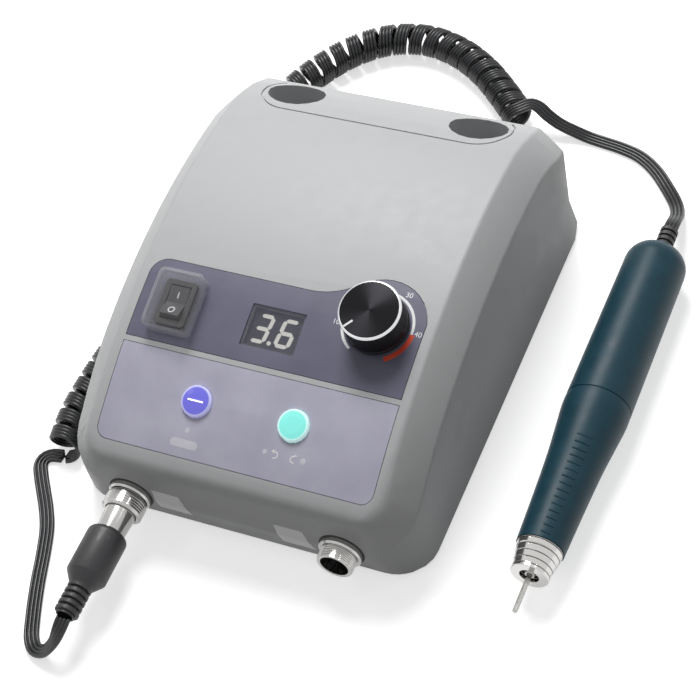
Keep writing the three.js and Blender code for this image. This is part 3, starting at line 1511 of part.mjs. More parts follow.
// Nose: a chromed cone with ring grooves, screwed into the grip by a spigot.
function noseCone() {
  const start = GRIP_LENGTH + GAP;
  const end = start + NOSE_LENGTH;
  const taperEnd = end - NOSE_LIP;
  const outside = (back) => THREE.MathUtils.mapLinear(back, start, taperEnd, NOSE_RADIUS, NOSE_END_RADIUS);
  const grooves = [1, 2].flatMap((ring) => {
    const back = start + ring * NOSE_GROOVE_PITCH - NOSE_GROOVE_PITCH / 3;
    return [
      [outside(back), back],
      [outside(back) - NOSE_GROOVE, back + NOSE_GROOVE],
      [outside(back), back + 2 * NOSE_GROOVE],
    ];
  });
  const spigot = NECK_RADIUS;
  const bore = spigot - NOSE_WALL;
  return turned(
    [
      [bore, NOSE_SPIGOT - start],
      [spigot, NOSE_SPIGOT - start],
      [spigot, -start],
      [NOSE_RADIUS, -start],
      ...grooves.map(([radius, back]) => [radius, -back]),
      [NOSE_END_RADIUS, -taperEnd],
      [NOSE_LIP_RADIUS, -taperEnd],
      [NOSE_LIP_RADIUS, NOSE_GROOVE - end],
      [NOSE_LIP_RADIUS - NOSE_GROOVE, -end],
      [NOSE_MOUTH_RADIUS, -end],
      [NOSE_MOUTH_RADIUS, NOSE_WALL - end],
      [bore, 2 * NOSE_WALL - end],
      [bore, NOSE_SPIGOT - start],
    ],
    FINE,
  );
}

// Spindle housing: the fixed tube inside the grip that carries both spindle bearings.
const HOUSING_FRONT = NOSE_SPIGOT - GRIP_LENGTH;
const BEARING_RADIUS = SPINDLE_RADIUS + SHAFT_PLAY + BEARING_WALL;
const SPINDLE_REAR = -HOUSING_FLANGE;
const NOSE_TIP = -GRIP_LENGTH - GAP - NOSE_LENGTH;

function spindleHousing() {
  const bore = BEARING_RADIUS + GAP;
  const flange = CASE_BORE - GAP;
  const rear = 2 * HOUSING_FLANGE;
  return turned(
    [
      [bore, HOUSING_FRONT],
      [NECK_RADIUS, HOUSING_FRONT],
      [NECK_RADIUS, -GRIP_MID_AT + GAP],
      [HOUSING_RADIUS, -GRIP_MID_AT + GAP],
      [HOUSING_RADIUS, GAP],
      [flange, GAP],
      [flange, rear],
      [bore, rear],
      [bore, HOUSING_FRONT],
    ],
    PLAIN,
  );
}

function bearing(centre) {
  const [low, high] = [centre - BEARING_WIDTH / 2, centre + BEARING_WIDTH / 2];
  const bore = SPINDLE_RADIUS + SHAFT_PLAY;
  return turned(
    [
      [bore, low],
      [BEARING_RADIUS, low],
      [BEARING_RADIUS, high],
      [bore, high],
      [bore, low],
    ],
    PLAIN,
  );
}

const FRONT_BEARING_AT = HOUSING_FRONT + BEARING_WIDTH;
const REAR_BEARING_AT = -2 * BEARING_WIDTH;

function spindle() {
  const mouth = NOSE_TIP + NOSE_WALL;
  const bore = COLLET_RADIUS + GAP;
  const depth = mouth + COLLET_LENGTH + OVERRUN;
  return turned(
    [
      [0, SPINDLE_REAR],
      [SPINDLE_RADIUS, SPINDLE_REAR],
      [SPINDLE_RADIUS, mouth],
      [bore, mouth],
      [bore, depth],
      [0, depth],
    ],
    PLAIN,
  );
}

function collet() {
  const mouth = NOSE_TIP + NOSE_WALL - GAP;
  const bore = BUR_RADIUS + GAP;
  return turned(
    [
      [bore, mouth - COLLET_NOSE],
      [COLLET_NOSE_RADIUS - COLLET_NOSE / 2, mouth - COLLET_NOSE],
      [COLLET_NOSE_RADIUS, mouth],
      [COLLET_RADIUS, mouth],
      [COLLET_RADIUS, mouth + COLLET_LENGTH],
      [bore, mouth + COLLET_LENGTH],
      [bore, mouth - COLLET_NOSE],
    ],
    PLAIN,
  );
}

function bur() {
  const tip = NOSE_TIP - BUR_REACH;
  return turned(
    [
      [0, tip],
      [BUR_RADIUS * 0.7, tip],
      [BUR_RADIUS, tip + BUR_RADIUS / 2],
      [BUR_RADIUS, NOSE_TIP + BUR_HELD],
      [0, NOSE_TIP + BUR_HELD],
    ],
    COARSE,
  );
}

// Flat cord. Its free stretches follow their routes; the curly stretch winds round a route.
function curveThrough(route) {
  return new THREE.CatmullRomCurve3(
    route.map(([x, y, z]) => new THREE.Vector3(x, y, z)),
    false,
    "centripetal",
  );
}

// The corners of the flat section, as [through its thickness, across its width]. Its narrow
// ends have a corner at each of the given shares of the thickness.
function cordSection(ends) {
  const [thick, wide] = [CORD_THICK / 2, CORD_WIDTH / 2];
  const edge = wide * CORD_EDGE_SHARE;
  const half = [...ends.map((end) => [end * thick, wide]), [-thick, edge], [-thick, -edge]];
  return [...half, ...half.map(([a, b]) => [-a, -b])];
}

function cordRing(middle, out, across, section) {
  return section.map(([a, b]) => middle.clone().addScaledVector(out, a).addScaledVector(across, b));
}

// A free stretch: the cord's width stays level while it follows its route.
function freeCord(route) {
  const curve = curveThrough(route);
  const section = cordSection([CORD_TIP_SHARE, -CORD_TIP_SHARE]);
  const rings = [];
  for (let i = 0; i <= CORD_STEPS; i++) {
    const along = curve.getTangentAt(i / CORD_STEPS);
    const across = new THREE.Vector3(along.y, -along.x, 0).normalize();
    const out = new THREE.Vector3().crossVectors(across, along);
    rings.push(cordRing(curve.getPointAt(i / CORD_STEPS), out, across, section));
  }
  return ringLoft(rings);
}

// The cord's middle line on the curls: it comes in underneath, and leaves on top after the
// last half turn.
function curlPoint(curve, turns) {
  const share = THREE.MathUtils.clamp(turns / CURLS, 0, 1);
  const ahead = curve.getTangentAt(share);
  const side = new THREE.Vector3(ahead.y, -ahead.x, 0);
  const up = new THREE.Vector3(0, 0, 1);
  const angle = 4 * TOP * turns;
  const out = up.clone().multiplyScalar(-Math.cos(angle)).addScaledVector(side, Math.sin(angle));
  const along = side.multiplyScalar(Math.cos(angle)).addScaledVector(up, Math.sin(angle));
  const middle = curve.getPointAt(share).addScaledVector(out, CURL_RADIUS - CORD_THICK / 2);
  return { middle, out, along, ahead };
}

function curlRing({ middle, out, along, ahead }, shift = 0) {
  return cordRing(middle.clone().addScaledVector(along, shift), out, ahead, cordSection([0]));
}

function curlyCord() {
  const curve = curveThrough(COIL_ROUTE.map(([x, y]) => [x, y, CURL_AXIS_Z]));
  const points = [];
  for (let i = 0; i <= CURLS * CURL_STEPS; i++) points.push(curlPoint(curve, i / CURL_STEPS));
  const rings = points.map((point) => curlRing(point));
  rings.unshift(curlRing(points[0], -CORD_THICK));
  rings.push(curlRing(points[points.length - 1], CORD_THICK));
  reportLeastGap(rings);
  return ringLoft(rings);
}

// Prints the least distance between any two curls, taken between their section points.
function reportLeastGap(rings) {
  let least = Infinity;
  rings.forEach((ring, i) => {
    for (let j = i + CURL_STEPS - 2; j < Math.min(rings.length, i + CURL_STEPS + 3); j++) {
      for (const a of ring) {
        for (const b of rings[j]) least = Math.min(least, a.distanceTo(b));
      }
    }
  });
  console.log("least gap between curls of the cord: " + least.toFixed(2) + " mm");
}

// Finishes
function finish(color, roughness, metalness = 0, opacity = 1) {
  return new THREE.MeshStandardMaterial({ color, roughness, metalness, opacity, transparent: opacity < 1 });
}

const HOUSING_PLASTIC = finish(0xb4b5b5, 0.5);
const DARK_PLASTIC = finish(0x3a3b3d, 0.6);
const BLACK_PLASTIC = finish(0x17181a, 0.45);
const RUBBER = finish(0x151515, 0.8);
const CORD_RUBBER = finish(0x121212, 0.4);
const PANEL_FILM = finish(0x6f6f82, 0.35);
const LOWER_FILM = finish(0x86869a, 0.35);
const SMOKED_LENS = finish(0xc9c9c4, 0.15, 0, 0.6);
const CLEAR_PLASTIC = finish(0xe8ecec, 0.1, 0, 0.35);
const BLUE_KEY = finish(0x5a5ce0, 0.3);
const CYAN_KEY = finish(0x9deee2, 0.3);
const TEAL_PLASTIC = finish(0x1f4652, 0.45);
const CHROME = finish(0xd5d6d4, 0.18, 1);
const STEEL = finish(0x9fa2a4, 0.35, 1);
const BRASS = finish(0xb08d4a, 0.35, 1);
const COPPER = finish(0x9a5a34, 0.4, 1);
const CIRCUIT_BOARD = finish(0x2d5a3a, 0.6);
const ALUMINIUM = finish(0xa9acae, 0.45, 1);

function piece(name, geometry, material) {
  const mesh = new THREE.Mesh(closed(geometry), material);
  mesh.geometry.computeVertexNormals();
  mesh.name = name;
  return mesh;
}

function at(x, y, z, ...meshes) {
  const group = new THREE.Group();
  group.position.set(x, y, z);
  group.add(...meshes);
  return group;
}

// Control box. Its place makes the origin the middle of the box and the handpiece together.
const HANDPIECE_REACH = HANDPIECE_FROM_BOX + HANDPIECE_RADIUS;
const BOX_X = -HANDPIECE_REACH / 2;
const BOX_Y = (SOCKET_REACH - INLET_FLANGE - GAP) / 2;

function socketSet(name, x) {
  return at(
    x,
    FRONT,
    SOCKET_Z,
    piece(name, socketSleeve(), CHROME),
    piece(name + "_nut", socketNut(), STEEL),
    piece(name + "_insert", socketInsert(), BLACK_PLASTIC),
  );
}

function controlBox() {
  const rockerMesh = piece("power_rocker", rocker(), BLACK_PLASTIC);
  rockerMesh.position.z = PIVOT_Z;
  rockerMesh.rotation.x = -ROCKER_TILT;
  const box = at(
    BOX_X,
    BOX_Y,
    0,
    piece("top_shell", topShell(), HOUSING_PLASTIC),
    piece("base_plate", basePlate(), DARK_PLASTIC),
    piece("lower_panel", panel(lowerPanelOutline(0), buttonHoles()), LOWER_FILM),
    piece("upper_panel", panel(upperPanelOutline(0), [switchHole(GAP), windowHole(0), knobHole()]), PANEL_FILM),
    deckSeat(
      SWITCH_X,
      SWITCH_Y,
      piece("switch_body", switchBody(), BLACK_PLASTIC),
      rockerMesh,
      piece("switch_cover", switchCover(), CLEAR_PLASTIC),
    ),
    deckSeat(
      DISPLAY_X,
      DISPLAY_Y,
      piece("display_window", displayWindow(), SMOKED_LENS),
      piece("display_module", displayModule(), BLACK_PLASTIC),
    ),
    deckSeat(
      KNOB_X,
      KNOB_Y,
      piece("speed_knob", speedKnob(), BLACK_PLASTIC),
      piece("pot_shaft", potShaft(), STEEL),
      piece("potentiometer", potentiometer(), STEEL),
      piece("pot_nut", potNut(), STEEL),
    ),
    deckSeat(
      -BUTTON_X,
      BUTTON_Y,
      piece("on_off_button", pushButton(), BLUE_KEY),
      piece("on_off_contact", tactSwitch(), BLACK_PLASTIC),
    ),
    deckSeat(
      BUTTON_X,
      BUTTON_Y,
      piece("direction_button", pushButton(), CYAN_KEY),
      piece("direction_contact", tactSwitch(), BLACK_PLASTIC),
    ),
    deckSeat(0, BOARD_Y, piece("control_board", controlBoard(), CIRCUIT_BOARD)),
    at(
      0,
      BACK - CORE_FROM_BACK,
      0,
      piece("transformer_core", transformerCore(), STEEL),
      piece("transformer_winding", transformerWinding(), COPPER),
    ),
    at(
      0,
      FRONT + DRIVER_FROM_FRONT,
      0,
      piece("driver_board", driverBoard(), CIRCUIT_BOARD),
      at(DRIVER_WIDTH / 4, 0, 0, piece("heat_sink", heatSink(), ALUMINIUM)),
    ),
    piece("mains_inlet", mainsInlet(), BLACK_PLASTIC),
    socketSet("motor_socket", -SOCKET_X),
    socketSet("pedal_socket", SOCKET_X),
    at(
      -SOCKET_X,
      FRONT - SOCKET_REACH,
      SOCKET_Z,
      piece("plug_ring", plugRing(), CHROME),
      piece("plug_barrel", plugBarrel(), CHROME),
      piece("plug_insert", plugInsert(), BLACK_PLASTIC),
      piece("plug_boot", plugBoot(), RUBBER),
    ),
  );
  footPlaces().forEach(([x, y], i) => box.add(at(x, y, 0, piece("rubber_foot_" + (i + 1), rubberFoot(), RUBBER))));
  postPlaces().forEach(([x, y], i) => box.add(piece("base_screw_" + (i + 1), screwProfile(0, x, y), STEEL)));
  return box;
}

function handpiece() {
  return at(
    BOX_X + BASE_HALF_WIDTH + HANDPIECE_FROM_BOX,
    PARTING_Y,
    HANDPIECE_RADIUS,
    piece("handpiece_rear_case", rearCase(), TEAL_PLASTIC),
    piece("handpiece_tail_relief", tailRelief(), RUBBER),
    piece("motor_can", motorCan(), STEEL),
    piece("motor_rotor", motorRotor(), COPPER),
    piece("brush_left", carbonBrush(-1), BLACK_PLASTIC),
    piece("brush_right", carbonBrush(1), BLACK_PLASTIC),
    piece("spindle_housing", spindleHousing(), ALUMINIUM),
    piece("front_bearing", bearing(FRONT_BEARING_AT), STEEL),
    piece("rear_bearing", bearing(REAR_BEARING_AT), STEEL),
    piece("front_grip", frontGrip(), TEAL_PLASTIC),
    piece("nose_cone", noseCone(), CHROME),
    piece("spindle", spindle(), STEEL),
    piece("collet", collet(), BRASS),
    piece("bur", bur(), STEEL),
  );
}

const micromotor = new THREE.Group();
micromotor.add(
  controlBox(),
  handpiece(),
  piece("cord_front", freeCord(FRONT_CORD_ROUTE), CORD_RUBBER),
  piece("cord_coil", curlyCord(), CORD_RUBBER),
  piece("cord_rear", freeCord(REAR_CORD_ROUTE), CORD_RUBBER),
);

export default micromotor;
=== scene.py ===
import math

import bpy
from mathutils import Matrix, Vector
from mathutils.bvhtree import BVHTree


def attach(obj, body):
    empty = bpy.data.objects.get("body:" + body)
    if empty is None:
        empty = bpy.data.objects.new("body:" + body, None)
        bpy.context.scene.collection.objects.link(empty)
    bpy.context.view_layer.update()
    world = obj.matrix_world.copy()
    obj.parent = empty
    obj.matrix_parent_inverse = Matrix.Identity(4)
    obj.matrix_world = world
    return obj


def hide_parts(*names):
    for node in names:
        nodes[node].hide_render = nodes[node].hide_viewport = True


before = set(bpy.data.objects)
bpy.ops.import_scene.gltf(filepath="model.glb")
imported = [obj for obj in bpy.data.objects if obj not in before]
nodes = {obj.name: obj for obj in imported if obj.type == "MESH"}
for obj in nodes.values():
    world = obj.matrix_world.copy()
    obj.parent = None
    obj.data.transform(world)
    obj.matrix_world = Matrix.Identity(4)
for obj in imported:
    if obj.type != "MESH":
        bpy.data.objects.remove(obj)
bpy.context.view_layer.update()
MM = 0.001


# Camera: the photograph's view, above the right front corner, with a long lens. The three
# directions below are those of the picture's right, down and depth in the shared frame.
def add_object(name, data):
    made = bpy.data.objects.new(name, data)
    bpy.context.scene.collection.objects.link(made)
    return made


camera = add_object("camera", bpy.data.cameras.new("camera"))
camera.data.lens = 106.406
camera.data.sensor_width = 36
camera.data.clip_end = 20
picture_right = Vector((0.91087, 0.38011, -0.16073))
picture_down = Vector((0.2125, -0.76585, -0.60689))
picture_depth = Vector((-0.35378, 0.51864, -0.77836))
turned_to_view = Matrix((picture_right, -picture_down, -picture_depth)).transposed()
camera_place = Vector((315.82, -491.88, 751.11)) * MM
camera.matrix_world = Matrix.Translation(camera_place) @ turned_to_view.to_4x4()
bpy.context.scene.camera = camera
bpy.context.scene.view_settings.view_transform = "Standard"


# Studio: white paper under the object, one broad soft lamp high at the back left, a weak one in
# front and two small ones for glints. The surround is white for the camera and for what metal
# and glass reflect, and dimmer for what it lights.
def add_node(tree, kind, inputs={}, **settings):
    made = tree.nodes.new("ShaderNode" + kind)
    for name, value in settings.items():
        setattr(made, name, value)
    for name, value in inputs.items():
        if isinstance(value, bpy.types.NodeSocket):
            tree.links.new(value, made.inputs[name])
        else:
            made.inputs[name].default_value = value
    return made


def colour(code):
    """An sRGB hex value as the linear colour that a socket takes."""
    shares = [int(code[i : i + 2], 16) / 255 for i in (0, 2, 4)]
    return [s / 12.92 if s <= 0.04045 else ((s + 0.055) / 1.055) ** 2.4 for s in shares] + [1]


def deselect():
    for each in bpy.context.selected_objects:
        each.select_set(False)


def pick(piece):
    """Selects one piece alone, so that the operators act on it."""
    deselect()
    piece.select_set(True)
    bpy.context.view_layer.objects.active = piece


def seen_directly(tree):
    """1 for rays that show the background itself: to the camera, off gloss and through glass."""
    path = add_node(tree, "LightPath")
    gloss = {0: path.outputs["Is Camera Ray"], 1: path.outputs["Is Glossy Ray"]}
    either = add_node(tree, "Math", gloss, operation="MAXIMUM")
    glass = {0: either.outputs[0], 1: path.outputs["Is Transmission Ray"]}
    return add_node(tree, "Math", glass, operation="MAXIMUM").outputs[0]


world = bpy.data.worlds.new("white_surround")
world.use_nodes = True
bpy.context.scene.world = world
tree = world.node_tree
tree.nodes.clear()
white = colour("ffffff")
ambient = add_node(tree, "Background", {"Color": white, "Strength": 0.22})
shown = add_node(tree, "Background", {"Color": white, "Strength": 1.0})
surround = {0: seen_directly(tree), 1: ambient.outputs[0], 2: shown.outputs[0]}
either = add_node(tree, "MixShader", surround)
add_node(tree, "OutputWorld", {"Surface": either.outputs[0]})

deselect()
bpy.ops.mesh.primitive_plane_add(size=6)
floor = bpy.context.object
floor.name = "floor"
paper = bpy.data.materials.new("white_paper")
paper.use_nodes = True
tree = paper.node_tree
tree.nodes.clear()
lit = add_node(tree, "BsdfDiffuse", {"Color": colour("e8e8e8")})
glow = add_node(tree, "Emission", {"Color": white, "Strength": 0.62})
bright = add_node(tree, "AddShader", {0: lit.outputs[0], 1: glow.outputs[0]})
dim = add_node(tree, "BsdfDiffuse", {"Color": colour("8c8c8c")})
sheet = {0: seen_directly(tree), 1: dim.outputs[0], 2: bright.outputs[0]}
either = add_node(tree, "MixShader", sheet)
add_node(tree, "OutputMaterial", {"Surface": either.outputs[0]})
floor.data.materials.append(paper)


def add_lamp(name, place, aim, size, power):
    lamp = add_object(name, bpy.data.lights.new(name, "AREA"))
    lamp.data.shape = "DISK"
    lamp.data.size = size
    lamp.data.energy = power
    lamp.location = place
    lamp.rotation_euler = (Vector(aim) - Vector(place)).to_track_quat("-Z", "Y").to_euler()


box_middle = (0.0, 0.0, 0.05)
add_lamp("soft_lamp_above", (-0.4, 0.8, 1.4), aim=(-0.02, 0.02, 0.03), size=0.8, power=23)
add_lamp("soft_lamp_front", (-0.7, -1.1, 0.9), aim=(-0.02, 0.0, 0.05), size=0.6, power=0.35)
add_lamp("small_lamp_left", (-0.9, -0.1, 1.1), aim=box_middle, size=0.09, power=0.5)
add_lamp("small_lamp_right", (0.8, 0.6, 1.3), aim=box_middle, size=0.09, power=0.5)


# Flat cord: one moulded ribbon of four insulated wires side by side, black flexible vinyl with a
# dull gloss. It leaves the handpiece's tail, lies on the desk, is wound hot on a mandrel into
# curls down the box's left side, and runs straight again to the plug.
cord_width = 6.96 * MM
cord_thick = 2.36 * MM
wires = 4
curls = 43.5
curl_radius = 7.05 * MM
curl_axis_z = 8.5 * MM
rings_per_curl = 20
rings_per_straight = 90
# Each place on a route is x, y and z in mm. The coil's route has no z, as its axis lies level.
front_route = [
    (-80.9, -169.6, 19), (-80.9, -171.6, 18.9), (-81.2, -174.4, 17.6), (-82.8, -177.6, 13.8),
    (-85.6, -179.8, 9.2), (-90.0, -181.2, 4.6), (-95.0, -180.3, 2.2), (-99.4, -175.9, 1.5),
    (-104.4, -165.0, 1.5), (-110.1, -150.1, 1.5), (-114.9, -135.6, 1.5), (-119.7, -123.1, 1.5),
    (-124.9, -114.0, 1.5), (-130.7, -105.7, 1.5), (-135.8, -98.4, 1.5), (-139.0, -92.8, 1.5),
    (-138.7, -89.0, 1.5), (-136.2, -86.7, 1.5), (-133.5, -86.1, 1.5), (-131.2, -85.7, 1.45),
]
coil_route = [
    (-128.5, -85.3), (-131.5, -65.8), (-131.3, -46.0), (-129.8, -26.2), (-128.0, -6.5),
    (-126.6, 13.3), (-125.9, 33.1), (-125.8, 52.9), (-125.8, 72.7), (-125.4, 92.5),
    (-123.8, 112.2), (-120.5, 131.8), (-115.1, 150.8), (-107.0, 168.9), (-95.6, 184.9),
    (-79.8, 196.8), (-60.7, 201.1), (-41.4, 197.0), (-24.1, 187.4), (-9.0, 174.6), (5.1, 160.7),
]
rear_route = [
    (7.0, 162.6, 15.55), (8.4, 164.0, 15.5), (10.5, 165.4, 14.9), (13.8, 165.6, 13.4),
    (18.6, 163.8, 10.9), (25.0, 162.6, 7.4), (33.0, 162.5, 3.9), (40.0, 162.0, 2.0),
    (47.5, 161.1, 1.5), (58.1, 159.3, 1.5), (68.0, 156.2, 1.5), (77.5, 149.8, 1.5),
    (87.0, 139.8, 1.6), (94.4, 129.6, 3.4), (98.4, 119.6, 8.2), (99.8, 111.0, 13.4),
    (100, 106.9, 14.9), (100, 103.7, 15),
]


def smooth_line(route, count):
    """count points, evenly spaced, on a smooth curve through the route's points."""
    steps = 24
    knots = [Vector(p) * MM for p in route]
    knots = [2 * knots[0] - knots[1], *knots, 2 * knots[-1] - knots[-2]]
    fine = []
    for a, b, c, d in zip(knots, knots[1:], knots[2:], knots[3:]):
        t = [0.0]
        for p, q in ((a, b), (b, c), (c, d)):
            t.append(t[-1] + math.sqrt((q - p).length))
        for step in range(steps):
            x = t[1] + (t[2] - t[1]) * step / steps
            one = [
                a.lerp(b, x / t[1]),
                b.lerp(c, (x - t[1]) / (t[2] - t[1])),
                c.lerp(d, (x - t[2]) / (t[3] - t[2])),
            ]
            two = [one[0].lerp(one[1], x / t[2]), one[1].lerp(one[2], (x - t[1]) / (t[3] - t[1]))]
            fine.append(two[0].lerp(two[1], (x - t[1]) / (t[2] - t[1])))
    fine.append(knots[-2])
    run = [0.0]
    for p, q in zip(fine, fine[1:]):
        run.append(run[-1] + (q - p).length)
    line, i = [], 0
    for k in range(count):
        want = run[-1] * k / (count - 1)
        while i < len(run) - 2 and run[i + 1] < want:
            i += 1
        line.append(fine[i].lerp(fine[i + 1], (want - run[i]) / (run[i + 1] - run[i])))
    return line


def straight_rings(route):
    """Rings along a lying stretch, each a middle and the directions through and across it."""
    line = smooth_line(route, rings_per_straight)
    rings = []
    for i, p in enumerate(line):
        along = (line[min(i + 1, len(line) - 1)] - line[max(i - 1, 0)]).normalized()
        across = Vector((along.y, -along.x, 0)).normalized()
        rings.append((p, across.cross(along), across))
    return rings


def curl_rings():
    """Rings of the curly stretch, in the same form; each curl starts at its lowest place."""
    count = round(curls * rings_per_curl) + 1
    axis = smooth_line([(x, y, 0) for x, y in coil_route], count)
    rings = []
    for i, p in enumerate(axis):
        ahead = (axis[min(i + 1, count - 1)] - axis[max(i - 1, 0)]).normalized()
        side = Vector((ahead.y, -ahead.x, 0))
        angle = 2 * math.pi * i / rings_per_curl
        out = Vector((0, 0, -math.cos(angle))) + side * math.sin(angle)
        rings.append((p + Vector((0, 0, curl_axis_z)) + out * curl_radius, out, ahead))
    return rings


def ribbon_section():
    """The round wires in a row, joined edge to edge, as (across, through) places."""
    wire = cord_width / 2 / wires
    top = []
    for k in range(wires):
        for angle in (165, 130, 90, 50, 15):
            a = math.radians(angle)
            across = (2 * k - (wires - 1)) * wire + wire * math.cos(a)
            top.append((across, cord_thick / 2 * math.sin(a)))
    return [(-cord_width / 2, 0), *top, (cord_width / 2, 0), *[(x, -z) for x, z in reversed(top)]]


rings = [*straight_rings(front_route), *curl_rings(), *straight_rings(rear_route)]
section = ribbon_section()
side_count = len(section)
points = [p + across * a + out * b for p, out, across in rings for a, b in section]
faces = []
for r in range(len(rings) - 1):
    for i in range(side_count):
        a, b = r * side_count + i, r * side_count + (i + 1) % side_count
        faces.append((a, b, b + side_count, a + side_count))
last = (len(rings) - 1) * side_count
faces += [tuple(reversed(range(side_count))), tuple(last + i for i in range(side_count))]
mesh = bpy.data.meshes.new("flat_cord")
mesh.from_pydata(points, [], faces)
mesh.update()
flat_cord = add_object("flat_cord", mesh)
pick(flat_cord)
bpy.ops.object.mode_set(mode="EDIT")
bpy.ops.mesh.select_all(action="SELECT")
bpy.ops.mesh.normals_make_consistent(inside=False)
bpy.ops.object.mode_set(mode="OBJECT")
bpy.ops.object.shade_smooth()


def new_material(name, code, rough, metal=0.0, **sockets):
    """A material with one shader; sockets holds its other inputs, by name with _ for space."""
    made = bpy.data.materials.new(name)
    made.use_nodes = True
    tree = made.node_tree
    tree.nodes.clear()
    inputs = {"Base Color": colour(code), "Roughness": rough, "Metallic": metal}
    inputs |= {key.replace("_", " "): value for key, value in sockets.items()}
    shader = add_node(tree, "BsdfPrincipled", inputs)
    add_node(tree, "OutputMaterial", {"Surface": shader.outputs[0]})
    return made, tree, shader


def grain(tree, shader, spacing, depth, rough=None, codes=None, stretch=(1, 1, 1)):
    """Surface grain, spacing and depth in mm, drawn as coarse as it needs to show.

    Roughness and colour change between two ends, in patches ten times as wide as the grain.
    """
    low, high = 0.3, 0.7
    place = add_node(tree, "TexCoord")
    drawn = add_node(tree, "Mapping", {"Vector": place.outputs["Object"], "Scale": stretch})
    pits = {"Vector": drawn.outputs[0], "Scale": 1 / (spacing * MM), "Detail": 3}
    fine = add_node(tree, "TexNoise", pits)
    relief = {"Height": fine.outputs["Fac"], "Strength": 0.6, "Distance": depth * MM}
    bump = add_node(tree, "Bump", relief)
    tree.links.new(bump.outputs[0], shader.inputs["Normal"])
    patches = {"Vector": drawn.outputs[0], "Scale": 0.1 / (spacing * MM), "Detail": 5}
    wide = add_node(tree, "TexNoise", patches)
    if rough:
        ends = {"Value": wide.outputs["Fac"], "From Min": low, "From Max": high}
        ends |= {"To Min": rough[0], "To Max": rough[1]}
        tree.links.new(add_node(tree, "MapRange", ends).outputs[0], shader.inputs["Roughness"])
    if codes:
        ramp = add_node(tree, "ValToRGB", {"Fac": wide.outputs["Fac"]})
        for end, code, at in zip(ramp.color_ramp.elements, codes, (low, high)):
            end.color = colour(code)
            end.position = at
        tree.links.new(ramp.outputs[0], shader.inputs["Base Color"])


def dress(material, *names):
    """Puts a material on CAD nodes, in every slot that they have."""
    for name in names:
        slots = nodes[name].data.materials
        if not slots:
            slots.append(material)
        for i in range(len(slots)):
            slots[i] = material


# Flexible vinyl, extruded: black with a soft sheen and faint waves from the die.
cord_vinyl, tree, shader = new_material("flexible_vinyl", "17181a", 0.3)
grain(tree, shader, 1.2, 0.05, rough=(0.24, 0.38), codes=("131416", "1d1e21"))
flat_cord.data.materials.append(cord_vinyl)
dress(cord_vinyl, "cord_front", "cord_coil", "cord_rear")
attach(flat_cord, "console")
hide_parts("cord_front", "cord_coil", "cord_rear")
centres = [tuple(p) for p, _, _ in rings]
cord_length = sum((Vector(q) - Vector(p)).length for p, q in zip(centres, centres[1:]))
print("flat cord length", round(cord_length, 3))


# Housing: two shells, moulded in light grey ABS with a fine matt spark finish and screwed
# together from below. The lower one is the base, a shade darker; the eye sees a soft even grey.
def finish_piece(piece, material, body):
    piece.data.materials.clear()
    piece.data.materials.append(material)
    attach(piece, body)


def smooth_skin(node, material, body):
    """A copy of a node's mesh, joined up and shaded smooth over its small facets, in its place."""
    join_reach = 2e-6
    facet_angle = math.radians(28)
    piece = add_object(node + "_skin", nodes[node].data.copy())
    pick(piece)
    if piece.data.has_custom_normals:
        bpy.ops.mesh.customdata_custom_splitnormals_clear()
    bpy.ops.object.mode_set(mode="EDIT")
    bpy.ops.mesh.select_all(action="SELECT")
    bpy.ops.mesh.remove_doubles(threshold=join_reach)
    bpy.ops.object.mode_set(mode="OBJECT")
    bpy.ops.object.shade_smooth_by_angle(angle=facet_angle)
    finish_piece(piece, material, body)
    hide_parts(node)
    return piece


moulded_abs, tree, shader = new_material(
    "moulded_abs_grey", "bcbdbe", 0.5, Specular_IOR_Level=0.25
)
grain(tree, shader, 0.7, 0.03, rough=(0.4, 0.5), codes=("bbbcbd", "bebfc0"))
dress(moulded_abs, "top_shell")
smooth_skin("top_shell", moulded_abs, "console")
base_abs, tree, shader = new_material("moulded_abs_base", "8a8b8d", 0.5)
grain(tree, shader, 0.7, 0.04, rough=(0.46, 0.58), codes=("88898b", "8c8d8f"))
dress(base_abs, "base_plate")


# Panels: two sheets of printed polycarbonate film on stiff backs, set flush in the deck. The ink
# is a violet grey under a satin clear face, and its white marks are screen printed.
def film(name, code, low, high):
    made, tree, shader = new_material(name, code, 0.4, Specular_IOR_Level=0.3)
    grain(tree, shader, 2.5, 0.01, rough=(0.36, 0.44), codes=(low, high))
    return made


upper_ink = film("printed_film_upper", "6b6b7e", "656578", "717184")
lower_ink = film("printed_film_lower", "bdbbcc", "b4b2c4", "c5c3d3")
dress(upper_ink, "upper_panel")
dress(lower_ink, "lower_panel")
smooth_skin("upper_panel", upper_ink, "console")
smooth_skin("lower_panel", lower_ink, "console")

# A seat is the x, y and z of a control's middle on the deck, in mm, and the sine of its slope.
knob_seat = (14.8, -25.65, 74.733, 0.239)
switch_seat = (-76.5, -36.85, 71.718, 0.2808)
display_seat = (-30, -37.55, 71.512, 0.28341)
on_off_seat = (-53, -73.75, 57.905, 0.41849)
direction_seat = (-7, -73.75, 57.905, 0.41849)


def on_seat(seat, u, v, w):
    """A place in metres: u to the right, v up the slope and w off a tilted seat, in mm."""
    x, y, z, rise = seat
    run = math.sqrt(1 - rise * rise)
    return Vector((x + u, y + v * run - w * rise, z + v * rise + w * run)) * MM


def into_seat(seat):
    """The direction straight into a tilted seat."""
    return on_seat(seat, 0, 0, -1) - on_seat(seat, 0, 0, 0)


def onto_seat(shape, seat, thick, lift, off):
    """Makes a flat shape a mesh whose underside is lift above a tilted seat, off to one side."""
    pick(shape)
    bpy.ops.object.convert(target="MESH")
    shape = bpy.context.object
    for v in shape.data.vertices:
        u, up, w = v.co / MM
        v.co = on_seat(seat, u + off[0], up + off[1], w + thick / 2 + lift)
    return shape


